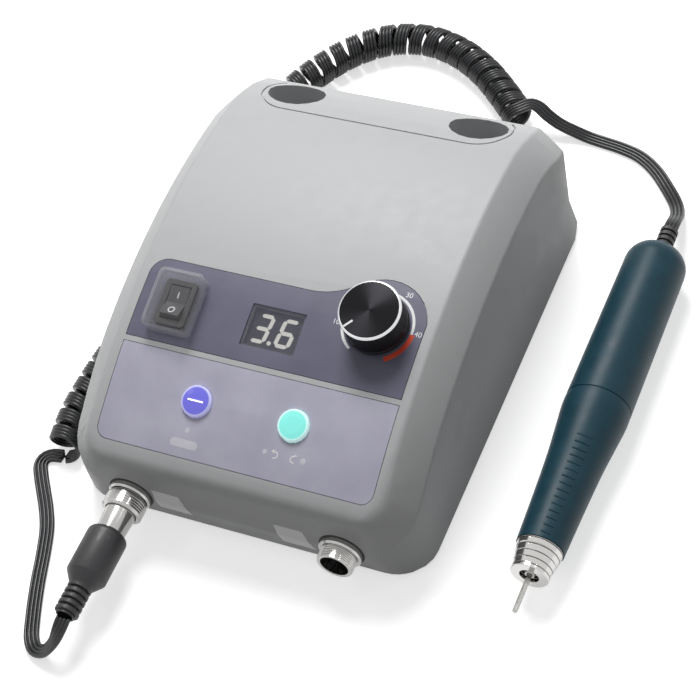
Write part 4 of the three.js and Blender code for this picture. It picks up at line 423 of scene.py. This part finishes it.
def print_shape(name, outlines, seat, thick=0.04, lift=0.0, off=(0, 0)):
    """Closed flat outlines in mm, as one thin mesh that stands lift off a tilted seat."""
    line = bpy.data.curves.new(name, "CURVE")
    line.dimensions = "2D"
    line.fill_mode = "BOTH"
    line.extrude = thick / 2 * MM
    for outline in outlines:
        spline = line.splines.new("POLY")
        spline.points.add(len(outline) - 1)
        for point, (x, y) in zip(spline.points, outline):
            point.co = (x * MM, y * MM, 0, 1)
        spline.use_cyclic_u = True
    return onto_seat(add_object(name, line), seat, thick, lift, off)


def print_text(name, words, size, seat, off):
    """Words printed flat on a tilted seat, with their middle off to one side, in mm."""
    thick = 0.04
    deselect()
    bpy.ops.object.text_add()
    shape = bpy.context.object
    shape.name = name
    shape.data.body = words
    shape.data.size = size * MM
    shape.data.extrude = thick / 2 * MM
    shape.data.align_x = "CENTER"
    shape.data.align_y = "CENTER"
    return onto_seat(shape, seat, thick, 0.0, off)


def lay_on(piece, node, toward):
    """Each point moves along toward onto the node's surface, and keeps its own height on it."""
    step_back, reach = 0.03, 0.08
    skin = nodes[node].data
    corners = [v.co for v in skin.vertices]
    solid = BVHTree.FromPolygons(corners, [p.vertices[:] for p in skin.polygons])
    toward = Vector(toward).normalized()
    low = max(v.co.dot(toward) for v in piece.data.vertices)
    for v in piece.data.vertices:
        start = v.co - toward * step_back
        hit = solid.ray_cast(start, toward, reach)[0]
        if hit:
            v.co = hit - toward * (low - v.co.dot(toward))


def arc_band(inner, outer, start, end, steps):
    """A band between two radii in mm, from one angle to another in degrees, as an outline."""
    angles = [math.radians(start + (end - start) * i / steps) for i in range(steps + 1)]
    return [(outer * math.cos(a), outer * math.sin(a)) for a in angles] + [
        (inner * math.cos(a), inner * math.sin(a)) for a in reversed(angles)
    ]


def rounded(width, height, corner):
    """A rectangle with rounded corners about the middle, as an outline."""
    steps = 5
    outline = []
    for k, (sx, sy) in enumerate(((1, 1), (-1, 1), (-1, -1), (1, -1))):
        cx, cy = sx * (width / 2 - corner), sy * (height / 2 - corner)
        for i in range(steps + 1):
            a = math.radians(90 * (k + i / steps))
            outline.append((cx + corner * math.cos(a), cy + corner * math.sin(a)))
    return outline


# Screen ink: a thin matt layer, even but for the weave of the screen, drawn coarse enough to show.
white_ink, tree, shader = new_material("screen_ink_white", "f0f0f2", 0.4)
grain(tree, shader, 0.4, 0.01, codes=("ebebee", "f5f5f6"))
red_ink, tree, shader = new_material("screen_ink_red", "e0492c", 0.4)
grain(tree, shader, 0.4, 0.01, codes=("d8442a", "e6502f"))
pale_ink, tree, shader = new_material("screen_ink_pale", "d6d5df", 0.4)
grain(tree, shader, 0.4, 0.01, codes=("cfced9", "dddce5"))

# Dial print: a ring of white ink round the knob, a wider red one at its fast end, and plain tens
# beside it, all laid on the bowed upper panel.
dial_inner, dial_outer, fast_outer = 15.1, 16.3, 17.3
number_radius, number_size = 18.6, 3.4
slow_ring = arc_band(dial_inner, dial_outer, start=-3, end=236, steps=60)
fast_ring = arc_band(dial_inner, fast_outer, start=-62, end=-3.6, steps=20)
dial_white = print_shape("dial_ring_white", [slow_ring], knob_seat)
dial_red = print_shape("dial_ring_red", [fast_ring], knob_seat)
numbers = []
for value, angle in ((10, 188), (20, 125), (30, 62), (40, -1)):
    a = math.radians(angle)
    place = (number_radius * math.cos(a), number_radius * math.sin(a))
    name = "dial_number_%d" % value
    numbers.append(print_text(name, str(value), number_size, knob_seat, place))
for piece in (dial_white, dial_red, *numbers):
    lay_on(piece, "upper_panel", into_seat(knob_seat))
for piece in (dial_white, *numbers):
    finish_piece(piece, white_ink, "console")
finish_piece(dial_red, red_ink, "console")

# Lower panel's print: a bare pill and a lamp dot under one key, two turning arrows and two lamp
# dots under the other. It is drawn on a level seat and laid down on the panel.
lower_seat = (0, 0, 60, 0)
pill_place = (-53.6, -90.65)
dot_places = ((-53.5, -85.45, 1.1), (-16.5, -85.95, 1.0), (1.4, -86.05, 1.2))
arrow_y = -86.25


def turning_arrow(way):
    """A three-quarter ring with a head at one end; way is 1 or -1."""
    band = arc_band(1.0, 1.5, start=60, end=300, steps=16)
    head = ((0.3, 2.1), (1.9, 1.3), (0.2, 0.4))
    return [[(way * x, y) for x, y in outline] for outline in (band, head)]


def at(outlines, x, y):
    return [[(u + x, v + y) for u, v in outline] for outline in outlines]


pill_outline = at([rounded(width=13, height=3.3, corner=1.6)], *pill_place)
pill = print_shape("on_off_pill", pill_outline, lower_seat)
dots = []
for i, (x, y, radius) in enumerate(dot_places):
    disc = arc_band(0, radius, start=0, end=360, steps=20)
    dots.append(print_shape("lamp_dot_%d" % i, at([disc], x, y), lower_seat))
arrows = [
    print_shape("arrow_reverse", at(turning_arrow(-1), -11.7, arrow_y), lower_seat),
    print_shape("arrow_forward", at(turning_arrow(1), -3.1, arrow_y), lower_seat),
]
for piece in (pill, *dots, *arrows):
    lay_on(piece, "lower_panel", into_seat(lower_seat))
for piece in (pill, *dots):
    finish_piece(piece, pale_ink, "console")
for piece in arrows:
    finish_piece(piece, white_ink, "console")


# Power switch: a snap-in rocker of black nylon in a nylon bezel, with a clear splash cover over
# it, moulded in soft vinyl. The marks on the rocker are pad printed. The nylon has a low sheen.
black_nylon, tree, shader = new_material("moulded_nylon_black", "222224", 0.36)
grain(tree, shader, 0.5, 0.02, rough=(0.3, 0.42), codes=("1e1e20", "28282b"))
rocker_nylon, tree, shader = new_material("moulded_nylon_rocker", "2e2e31", 0.3)
grain(tree, shader, 0.5, 0.02, rough=(0.28, 0.4), codes=("29292c", "343438"))
# Clear vinyl: all but gone where it faces the eye. Where it slants away it shows a pale veil, a
# painted reflection at its edges.
clear_vinyl, tree, shader = new_material(
    "clear_vinyl", "e8e8ea", 0.06, Coat_Weight=0.5, Coat_Roughness=0.04
)
grain(tree, shader, 4, 0.01, rough=(0.03, 0.06))
slant = add_node(tree, "LayerWeight", {"Blend": 0.35})
# Painted reflection: the pale base shows more, the more the surface slants from the eye.
painted_edge_reflection = {"Value": slant.outputs["Facing"], "From Min": 0.1, "To Min": 0.04, "To Max": 0.75}
tree.links.new(add_node(tree, "MapRange", painted_edge_reflection).outputs[0], shader.inputs["Alpha"])
dress(black_nylon, "switch_body")
dress(rocker_nylon, "power_rocker")
dress(clear_vinyl, "switch_cover")
mark_lift = 2
stroke = rounded(width=0.6, height=3.0, corner=0.29)
circle = arc_band(1.1, 1.6, start=0, end=359.9, steps=32)
for name, outline, off in (
    ("rocker_mark_on", stroke, (0, 3.6)),
    ("rocker_mark_off", circle, (0, -3.9)),
):
    mark = print_shape(name, [outline], switch_seat, lift=mark_lift, off=off)
    lay_on(mark, "power_rocker", into_seat(switch_seat))
    finish_piece(mark, white_ink, "power_rocker")


# Display: two seven-segment digits and a point, lit through a smoked acrylic window. Each bar is
# a pale diffuser over a lamp, so it glows evenly. The acrylic's tint darkens the case behind it.
smoked_acrylic, tree, shader = new_material(
    "smoked_acrylic", "5c5c6a", 0.1, Alpha=0.4, Specular_IOR_Level=0.3
)
grain(tree, shader, 3, 0.005, rough=(0.03, 0.08))
# Display case, moulded: a flat mid grey that the unlit part of the display shows.
display_case, tree, shader = new_material("display_case_grey", "77777f", 0.5)
grain(tree, shader, 0.6, 0.02, codes=("707078", "808088"))
lit_bar, tree, shader = new_material(
    "lit_diffuser", "f4f2e8", 0.5, Emission_Strength=1.1, Emission_Color=colour("fbf9ee")
)
grain(tree, shader, 0.5, 0.01, codes=("efede2", "f8f6ee"))
dress(smoked_acrylic, "display_window")
dress(display_case, "display_module")
digit_high, digit_wide, digit_lean = 13.6, 7.6, 0.12
bar_wide, bar_gap = 1.7, 0.15
point_radius = 0.95


def bar_outline(x0, y0, x1, y1):
    """A six-sided bar between two of a digit's corners."""
    length = math.hypot(x1 - x0, y1 - y0)
    ax, ay = (x1 - x0) / length, (y1 - y0) / length
    half, gap = bar_wide / 2, bar_gap
    shape = [(gap, 0), (gap + half, half), (length - gap - half, half)]
    shape += [(length - gap, 0), (length - gap - half, -half), (gap + half, -half)]
    return [(x0 + ax * s - ay * t, y0 + ay * s + ax * t) for s, t in shape]


def digit(bars, middle):
    """The lit bars of one leaning digit; a is the top one, then clockwise, g the middle one."""
    w, h = (digit_wide - bar_wide) / 2, (digit_high - bar_wide) / 2
    ends = {
        "a": (-w, h, w, h), "b": (w, h, w, 0), "c": (w, 0, w, -h), "d": (-w, -h, w, -h),
        "e": (-w, 0, -w, -h), "f": (-w, h, -w, 0), "g": (-w, 0, w, 0),
    }
    outlines = [bar_outline(*ends[bar]) for bar in bars]
    return [[(x + y * digit_lean + middle, y) for x, y in outline] for outline in outlines]


lit_bars = [*digit("abcdg", middle=-6.0), *digit("acdefg", middle=5.6)]
point = arc_band(0, point_radius, start=0, end=360, steps=16)
lit_bars.append([(x - 0.9, y - digit_high / 2 + 1.0) for x, y in point])
digits = print_shape("display_digits", lit_bars, display_seat, thick=0.3, lift=-3.18)
finish_piece(digits, lit_bar, "console")


# Speed knob: turned from aluminium bar and anodised black, its top faced in fine rings that fan
# the light out. A highlight is painted bright round the edge of its top, on the chamfer. A white
# line is filled into its slot.
# The second colour is a painted highlight for the top's chamfer, not a colour of the metal.
black_anodised, chamfer_highlight = "1f1f22", "e4e4e6"
tool_marks = 0.45 * MM
# Anodised aluminium: a black metal with fans of light. Its tool marks are drawn further apart
# than a lathe leaves them, so that they show.
knob_metal, tree, shader = new_material(
    "anodised_aluminium_black", black_anodised, rough=0.3, metal=0.9,
    Anisotropic=0.85, Anisotropic_Rotation=0.25,
)
knob_middle = on_seat(knob_seat, 0, 0, 0)
knob_axis = tuple((on_seat(knob_seat, 0, 0, 1) - knob_middle).normalized())
place = add_node(tree, "TexCoord")
offset = {0: place.outputs["Object"], 1: tuple(knob_middle)}
from_middle = add_node(tree, "VectorMath", offset, operation="SUBTRACT").outputs[0]
height = add_node(tree, "VectorMath", {0: from_middle, 1: knob_axis}, operation="DOT_PRODUCT")
around = add_node(tree, "VectorMath", {0: knob_axis, 1: from_middle}, operation="CROSS_PRODUCT")
tree.links.new(around.outputs[0], shader.inputs["Tangent"])
reach = add_node(tree, "VectorMath", {0: around.outputs[0]}, operation="LENGTH").outputs["Value"]
# Painted highlight: the chamfer round the top's edge gets a bright metal colour, for the light it
# catches.
highlight_height = {"Value": height.outputs["Value"], "From Min": 14.55 * MM, "From Max": 14.65 * MM}
highlight_reach = {"Value": reach, "From Min": 12.85 * MM, "From Max": 12.95 * MM}
highlight_high = add_node(tree, "MapRange", highlight_height)
highlight_wide = add_node(tree, "MapRange", highlight_reach)
both = {0: highlight_high.outputs[0], 1: highlight_wide.outputs[0]}
painted_highlight_mask = add_node(tree, "Math", both, operation="MULTIPLY")
ends = {"Color1": colour(black_anodised), "Color2": colour(chamfer_highlight)}
painted_highlight = add_node(tree, "MixRGB", {"Fac": painted_highlight_mask.outputs[0], **ends})
tree.links.new(painted_highlight.outputs[0], shader.inputs["Base Color"])
ring_lines = add_node(tree, "Math", {0: reach, 1: 2 * math.pi / tool_marks}, operation="MULTIPLY")
ring_wave = add_node(tree, "Math", {0: ring_lines.outputs[0]}, operation="SINE")
relief = {"Height": ring_wave.outputs[0], "Strength": 0.25, "Distance": 0.01 * MM}
bump = add_node(tree, "Bump", relief)
tree.links.new(bump.outputs[0], shader.inputs["Normal"])
dress(knob_metal, "speed_knob")


def close_spin(sharp):
    """Joins a spun mesh at its seam and poles, faces it outwards and shades it smooth."""
    bpy.ops.mesh.select_all(action="SELECT")
    bpy.ops.mesh.remove_doubles(threshold=1e-6)
    bpy.ops.mesh.normals_make_consistent(inside=False)
    bpy.ops.object.mode_set(mode="OBJECT")
    bpy.ops.object.shade_smooth_by_angle(angle=math.radians(sharp))


def turned(name, outline, middle, axis, steps):
    """A piece turned on a lathe: (radius, height) pairs in mm, spun round an axis in mm."""
    deselect()
    axis = Vector(axis)
    out = axis.orthogonal().normalized()
    places = [(Vector(middle) + out * r + axis * h) * MM for r, h in outline]
    bpy.ops.mesh.primitive_plane_add(size=0.001)
    piece = bpy.context.object
    piece.name = name
    bpy.ops.object.mode_set(mode="EDIT")
    bpy.ops.mesh.select_all(action="SELECT")
    bpy.ops.mesh.merge(type="CENTER")
    bpy.ops.transform.translate(value=places[0])
    for p, q in zip(places, places[1:]):
        bpy.ops.mesh.extrude_region_move(TRANSFORM_OT_translate={"value": q - p})
    bpy.ops.mesh.select_all(action="SELECT")
    bpy.ops.mesh.spin(steps=steps, angle=2 * math.pi, center=Vector(middle) * MM, axis=axis)
    close_spin(sharp=30)
    return piece


knob_outline = [
    (3.1, 0.5), (5.4, 0.5), (5.4, 12.0), (12.4, 12.0), (12.4, 0.5), (13.6, 0.5), (14.1, 0.9),
    (14.15, 1.2), (14.15, 2.1), (13.9, 2.35), (13.85, 2.6), (13.85, 14.6), (13.75, 14.8),
    (13.15, 15.4), (13.0, 15.48), (12.8, 15.5), (0, 15.5), (0, 13.6), (3.1, 13.6), (3.1, 0.5),
]
knob = turned("speed_knob_turned", knob_outline, knob_middle / MM, knob_axis, 96)
finish_piece(knob, knob_metal, "speed_dial")
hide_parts("speed_knob")
pointer_angle = math.radians(-130)
pointer_from, pointer_to, pointer_half, pointer_lift = 8.2, 12.8, 0.48, 15.43
line = [
    (pointer_from, -pointer_half), (pointer_to, -pointer_half),
    (pointer_to, pointer_half), (pointer_from, pointer_half),
]
cos, sin = math.cos(pointer_angle), math.sin(pointer_angle)
line = [(x * cos - y * sin, x * sin + y * cos) for x, y in line]
pointer = print_shape("knob_pointer_line", [line], knob_seat, thick=0.08, lift=pointer_lift)
finish_piece(pointer, white_ink, "speed_dial")


# Keys: two caps of translucent acrylic over lamps. Light spills out round each as a thin bright
# rim; the left one is blue with a bright bar across it, the right one a pale cyan.
key_top, key_radius = 1.8, 7.4
face_end, rim_start = 0.78, 0.88


def lit_key(name, seat, face, rim, strength):
    """Lit acrylic: a face that glows in one even colour, and a paler rim round it."""
    made, tree, shader = new_material(name, face, 0.2, Coat_Weight=0.5, Emission_Strength=strength)
    place = add_node(tree, "TexCoord")
    ends = {0: place.outputs["Object"], 1: tuple(on_seat(seat, 0, 0, key_top))}
    off = add_node(tree, "VectorMath", ends, operation="DISTANCE")
    share = {"Value": off.outputs["Value"], "From Max": key_radius * MM}
    ramp = add_node(tree, "ValToRGB", {"Fac": add_node(tree, "MapRange", share).outputs[0]})
    stops = ramp.color_ramp.elements
    stops[0].color, stops[0].position = colour(face), face_end
    stops[1].color, stops[1].position = colour(rim), rim_start
    tree.links.new(ramp.outputs[0], shader.inputs["Base Color"])
    tree.links.new(ramp.outputs[0], shader.inputs["Emission Color"])
    return made


dress(lit_key("lit_acrylic_blue", on_off_seat, "6664d8", "c8c8f4", 0.3), "on_off_button")
dress(lit_key("lit_acrylic_cyan", direction_seat, "7fe6dc", "d8fbf8", 0.4), "direction_button")
bar_half_long, bar_half_high = 3.6, 0.32
edge = [(x / 10 * bar_half_long, bar_half_high) for x in range(-10, 11)]
bar_shape = [edge[::-1] + [(x, -y) for x, y in edge]]
bar = print_shape("key_light_bar", bar_shape, on_off_seat, thick=0.24, lift=3)
lay_on(bar, "on_off_button", into_seat(on_off_seat))
finish_piece(bar, lit_bar, "on_off_key")


# Front sockets: two round multi-pin sockets turned from brass and chromed, each behind a rubber
# gasket and held by a nut inside. The pedal's socket is empty, so its thread and pins show.
motor_x, pedal_x, sockets_z = -80.9, 20.9, 19
wall_y = -103.85
to_front, to_back = (0, -1, 0), (0, 1, 0)
# Chromed brass: a bright, slightly warm mirror with faint polishing waves.
chrome, tree, shader = new_material("chromed_brass", "b2b1af", 0.13, 1.0)
grain(tree, shader, 2.0, 0.02, rough=(0.08, 0.22), codes=("a4a3a1", "c0bfbd"))
# Turned steel: as bright but softer, from the marks of the tool.
steel, tree, shader = new_material("turned_steel", "b2b1ae", 0.26, 1.0)
grain(tree, shader, 1.2, 0.02, rough=(0.2, 0.36), codes=("a6a5a2", "bdbcb9"))
# Nitrile rubber: black and quite matt.
gasket_rubber, tree, shader = new_material("nitrile_rubber", "1b1b1c", 0.6)
grain(tree, shader, 0.6, 0.03, rough=(0.5, 0.7), codes=("171718", "212122"))
dress(chrome, "motor_socket", "pedal_socket", "plug_ring", "plug_barrel")
for node in ("motor_socket", "pedal_socket"):
    smooth_skin(node, chrome, "console")
plug_metal = [
    smooth_skin("plug_barrel", chrome, "console"),
    smooth_skin("plug_ring", chrome, "screw_ring"),
]
dress(steel, "motor_socket_nut", "pedal_socket_nut", "pot_nut", "pot_shaft")
dress(black_nylon, "motor_socket_insert", "pedal_socket_insert", "plug_insert", "mains_inlet")

gasket_line = [(8.1, 0.02), (10.5, 0.02), (10.6, 0.1), (10.4, 0.26), (8.1, 0.26), (8.1, 0.02)]
for x, use in ((motor_x, "motor"), (pedal_x, "pedal")):
    gasket = turned(use + "_socket_gasket", gasket_line, (x, wall_y, sockets_z), to_front, 40)
    finish_piece(gasket, gasket_rubber, "console")
thread_turns, thread_pitch = 6, 0.85
thread_seat, thread_root, thread_crest = 7.9, 7.95, 8.3
thread = [(thread_seat, 3.1)]
for i in range(thread_turns):
    along = thread_pitch * i
    thread += [(thread_root, 3.3 + along), (thread_crest, 3.62 + along)]
    thread += [(thread_crest, 3.76 + along), (thread_root, 4.08 + along)]
thread += [(thread_seat, 8.3), (thread_seat, 3.1)]
pedal_middle = (pedal_x, wall_y, sockets_z)
pedal_thread = turned("pedal_socket_thread", thread, pedal_middle, to_front, 56)
finish_piece(pedal_thread, chrome, "console")

# Socket labels: two bare pale labels of vinyl film beside the sockets, each with a slanted end.
# They are cut into small faces, so that they follow the bowed wall. Satin, and all but white.
label_film, tree, shader = new_material("label_vinyl_pale", "fafafa", 0.35)
grain(tree, shader, 1.0, 0.02, codes=("f7f7f8", "fdfdfd"))
wall_seat = (0, -104.0, 0, 1)
label_cuts = 9
for name, corners in (
    ("motor_socket_label", ((-69.2, 26.0), (-56.0, 26.0), (-52.4, 11.2), (-68.9, 11.2))),
    ("pedal_socket_label", ((-10.2, 25.0), (3.4, 25.0), (7.0, 9.6), (-9.0, 9.6))),
):
    label = print_shape(name, [corners], wall_seat, thick=0.2)
    pick(label)
    bpy.ops.object.mode_set(mode="EDIT")
    bpy.ops.mesh.select_all(action="SELECT")
    bpy.ops.mesh.subdivide(number_cuts=label_cuts)
    bpy.ops.object.mode_set(mode="OBJECT")
    lay_on(label, "top_shell", to_back)
    finish_piece(label, label_film, "console")


# Plug: a chromed screw ring with a ridged grip turns freely on the barrel; behind it a moulded
# rubber boot grips the cord, with a ribbed tail that lets it bend.
# Moulded rubber: black with a dull sheen.
boot_rubber, tree, shader = new_material("moulded_rubber_boot", "242427", 0.5, Coat_Weight=0.1)
grain(tree, shader, 0.8, 0.03, rough=(0.42, 0.58), codes=("1f1f22", "2a2a2d"))
dress(boot_rubber, "plug_boot", "handpiece_tail_relief")
boot_length, boot_radius, boot_corner = 43.2, 9.25, 3
corner_middle, bore_radius, hole_radius = 6.25, 7.05, 3.6
rib_count, rib_pitch = 5, 3
rib_radius, rib_shoulder, neck_radius = 5.5, 5.2, 4.2
boot = [(bore_radius, 0.2), (corner_middle, 0)]
for a in range(1, 9):
    angle = a / 8 * math.pi / 2
    across = corner_middle + boot_corner * math.sin(angle)
    boot.append((across, boot_corner - boot_corner * math.cos(angle)))
boot += [(boot_radius, 22.6), (9.0, 23.2), (5.8, 27.7), (rib_radius, 28.3)]
for i in range(rib_count):
    foot = 28.2 + rib_pitch * i
    boot += [(rib_radius, foot + 1.5), (rib_shoulder, foot + 1.8)]
    boot += [(neck_radius, foot + 1.9), (neck_radius, foot + 2.9)]
    if i < rib_count - 1:
        boot += [(rib_shoulder, foot + 3.0), (rib_radius, foot + 3.2)]
boot += [(neck_radius, boot_length), (hole_radius, boot_length), (hole_radius, 26)]
boot += [(bore_radius, 24), (bore_radius, 0.2)]
plug_boot = turned("plug_boot_ribbed", boot, (motor_x, -125.95, sockets_z), to_front, 56)
finish_piece(plug_boot, boot_rubber, "console")
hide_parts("plug_boot")
ridge_count, ridge_pitch = 5, 1.2
ring_radius, ridge_foot, ridge_top = 9.2, 9.26, 9.5
ridges = [(ring_radius, 0.9)]
for i in range(ridge_count):
    along = i * ridge_pitch
    ridges += [(ridge_foot, 1.0 + along), (ridge_top, 1.2 + along)]
    ridges += [(ridge_top, 1.9 + along), (ridge_foot, 2.1 + along)]
ridges += [(ring_radius, 7.0), (ring_radius, 0.9)]
ring_grip = turned("plug_ring_grip", ridges, (motor_x, -107.35, sockets_z), to_front, 56)
finish_piece(ring_grip, chrome, "screw_ring")


# Handpiece: a rear case and a twisting front grip, moulded in dark teal nylon with a satin skin.
# The grip has a row of raised finger ribs; the sleeve at the nose is turned and chromed.
satin_nylon, tree, shader = new_material(
    "satin_nylon_teal", "163a47", 0.46, Specular_IOR_Level=0.22
)
grain(tree, shader, 0.8, 0.03, rough=(0.38, 0.46), codes=("143743", "193e4b"))
dress(satin_nylon, "handpiece_rear_case", "front_grip")
hand_x, hand_z = 100, 15
hand_middle = (hand_x, 0, hand_z)
case_radius, case_taper = 14.94, 0.54
case_front, case_straight = -0.25, 80.35
dome_radius, dome_middle, dome_start = 11, 3.4, 80.1
tail_hole, case_bore = 3.7, 12.9
case_line = [(case_bore, case_front), (14.75, case_front), (case_radius, -0.05)]
for k in range(1, 11):
    along = case_front + case_straight * k / 10
    case_line.append((case_radius - case_taper * k / 10, along))
for a in range(1, 12):
    angle = a / 12 * math.pi / 2
    across = dome_middle + dome_radius * math.cos(angle)
    case_line.append((across, dome_start + dome_radius * math.sin(angle)))
case_line += [(tail_hole, 91.09), (tail_hole, 88.5), (12.6, 81), (case_bore, case_front)]
rear_case = turned("rear_case_turned", case_line, hand_middle, to_back, 96)
finish_piece(rear_case, satin_nylon, "console")
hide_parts("handpiece_rear_case")

grip_back, grip_wall = -0.55, 1.3
stations = [
    (case_radius, grip_back), (case_radius, -6.4), (13.9, -18), (12.7, -31.4), (11.7, -50.4),
    (10.7, -76.9),
]
grip_line = [(p.x / MM, p.y / MM) for p in smooth_line([(r, y, 0) for r, y in stations], 40)]
inside = [(r - grip_wall, y) for r, y in reversed(grip_line)]
grip_outline = [(13.7, grip_back), (14.8, grip_back), *grip_line[1:], *inside]
grip = turned("front_grip_turned", grip_outline, hand_middle, to_back, 96)
finish_piece(grip, satin_nylon, "twist_grip")
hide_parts("front_grip")


def grip_radius(y):
    return min(grip_line, key=lambda place: abs(place[1] - y))[0]


finger_count, finger_pitch, finger_thick, finger_start = 15, 3.52, 0.55, -25.1
ribs = []
for i in range(finger_count):
    y = finger_start - finger_pitch * i
    reach = grip_radius(y) - 0.2
    middle_angle = 106 - 7 * i / (finger_count - 1)
    half_span = 15 - 0.25 * i
    start = math.radians(middle_angle - half_span)
    outward = Vector((math.cos(start), 0, math.sin(start)))
    deselect()
    bpy.ops.mesh.primitive_circle_add(vertices=10, radius=finger_thick * MM, fill_type="NGON")
    rib = bpy.context.object
    rib.name = "finger_rib_%d" % (i + 1)
    for v in rib.data.vertices:
        u, w = v.co.x, v.co.y
        v.co = Vector((hand_x * MM, y * MM + w, hand_z * MM)) + outward * (reach * MM + u)
    bpy.ops.object.mode_set(mode="EDIT")
    bpy.ops.mesh.select_all(action="SELECT")
    span = math.radians(2 * half_span)
    middle = Vector((hand_x, y, hand_z)) * MM
    bpy.ops.mesh.spin(steps=14, angle=-span, center=middle, axis=to_back)
    close_spin(sharp=50)
    ribs.append(rib)
deselect()
for rib in ribs:
    rib.select_set(True)
bpy.context.view_layer.objects.active = ribs[0]
bpy.ops.object.join()
ribs[0].name = "finger_ribs"
finish_piece(ribs[0], satin_nylon, "twist_grip")

# Chromed nose: the same mirror as the sockets, a shade paler, with turned grooves. The shade
# in the grooves is painted dark into the colour.
nose_bright, nose_groove_shade = "c9c8c6", "5c5b5a"
nose_ring_pitch = 2.9 * MM
nose_chrome, tree, shader = new_material("chromed_nose", nose_bright, 0.12, 1.0)
place = add_node(tree, "TexCoord")
along = add_node(tree, "SeparateXYZ", {"Vector": place.outputs["Object"]})
rings_along = {0: along.outputs["Y"], 1: 2 * math.pi / nose_ring_pitch}
turns = add_node(tree, "Math", rings_along, operation="MULTIPLY")
wave = add_node(tree, "Math", {0: turns.outputs[0]}, operation="SINE")
groove_and_shade = add_node(tree, "MapRange", {"Value": wave.outputs[0], "From Min": 0.8, "From Max": 0.95})
# Painted shade: the colour darkens in each groove, where the shade of the rings falls.
ends = {"Fac": groove_and_shade.outputs[0], "Color1": colour(nose_bright), "Color2": colour(nose_groove_shade)}
tree.links.new(add_node(tree, "MixRGB", ends).outputs[0], shader.inputs["Base Color"])
relief = {"Height": groove_and_shade.outputs[0], "Strength": 1.0, "Distance": 0.12 * MM}
groove = add_node(tree, "Bump", relief, invert=True)
tree.links.new(groove.outputs[0], shader.inputs["Normal"])
dress(nose_chrome, "nose_cone")
smooth_skin("nose_cone", nose_chrome, "twist_grip")
dress(steel, "spindle", "collet", "bur")


# Handpiece motor, seen only with the case off: a brushed motor in a drawn steel can, and a
# spindle in two ball bearings. The steel shows long faint streaks from its drawing, the iron
# laminations fine steps, and the carbon of the brushes is a dull black.
drawn_steel, tree, shader = new_material("drawn_steel_can", "a5a6a8", 0.32, 1.0)
grain(tree, shader, 1.0, 0.02, rough=(0.26, 0.42), codes=("999a9c", "b1b2b4"), stretch=(1, 0.1, 1))
laminations, tree, shader = new_material("pressed_laminations", "6d6e71", 0.48, 0.8)
grain(tree, shader, 0.8, 0.06, rough=(0.4, 0.56), codes=("5d5e61", "7c7d80"), stretch=(1, 1, 8))
pressed_carbon, tree, shader = new_material("pressed_carbon", "29292b", 0.6)
grain(tree, shader, 0.5, 0.04, codes=("232325", "303033"))
housing_aluminium, tree, shader = new_material("turned_aluminium", "b9bbbe", 0.34, 1.0)
grain(tree, shader, 1.0, 0.02, rough=(0.28, 0.42), codes=("adafb2", "c4c6c9"))
dress(drawn_steel, "motor_can", "front_bearing", "rear_bearing")
dress(laminations, "motor_rotor", "transformer_core")
dress(pressed_carbon, "brush_left", "brush_right")
dress(housing_aluminium, "spindle_housing", "heat_sink")


# Inside the box: an iron transformer with an enamelled copper winding, a control board under the
# panels and a power board with its heat sink. The boards are green glass epoxy over copper.
wound_copper, tree, shader = new_material("enamelled_copper_winding", "9c5a2c", 0.4, 0.5)
grain(tree, shader, 0.9, 0.08, rough=(0.34, 0.5), codes=("8a4d24", "b06a36"), stretch=(1, 1, 6))
board_epoxy, tree, shader = new_material("glass_epoxy_board", "1f5c3c", 0.32, Coat_Weight=0.3)
place = add_node(tree, "TexCoord")
tracks = {
    "Vector": place.outputs["Object"], "Scale": 1 / (6 * MM), "Color1": colour("1c5537"),
    "Color2": colour("236645"), "Mortar": colour("3f8a60"), "Mortar Size": 0.03,
}
traces = add_node(tree, "TexBrick", tracks)
tree.links.new(traces.outputs["Color"], shader.inputs["Base Color"])
relief = {"Height": traces.outputs["Fac"], "Strength": 0.5, "Distance": 0.04 * MM}
track_rise = add_node(tree, "Bump", relief)
tree.links.new(track_rise.outputs[0], shader.inputs["Normal"])
dress(wound_copper, "transformer_winding")
dress(board_epoxy, "control_board", "driver_board")
dress(black_nylon, "potentiometer", "on_off_contact", "direction_contact")


# Underside: four moulded rubber feet, and four countersunk steel screws that hold the base to
# the upper shell.
dress(gasket_rubber, *["rubber_foot_%d" % i for i in range(1, 5)])
dress(steel, *["base_screw_%d" % i for i in range(1, 5)])
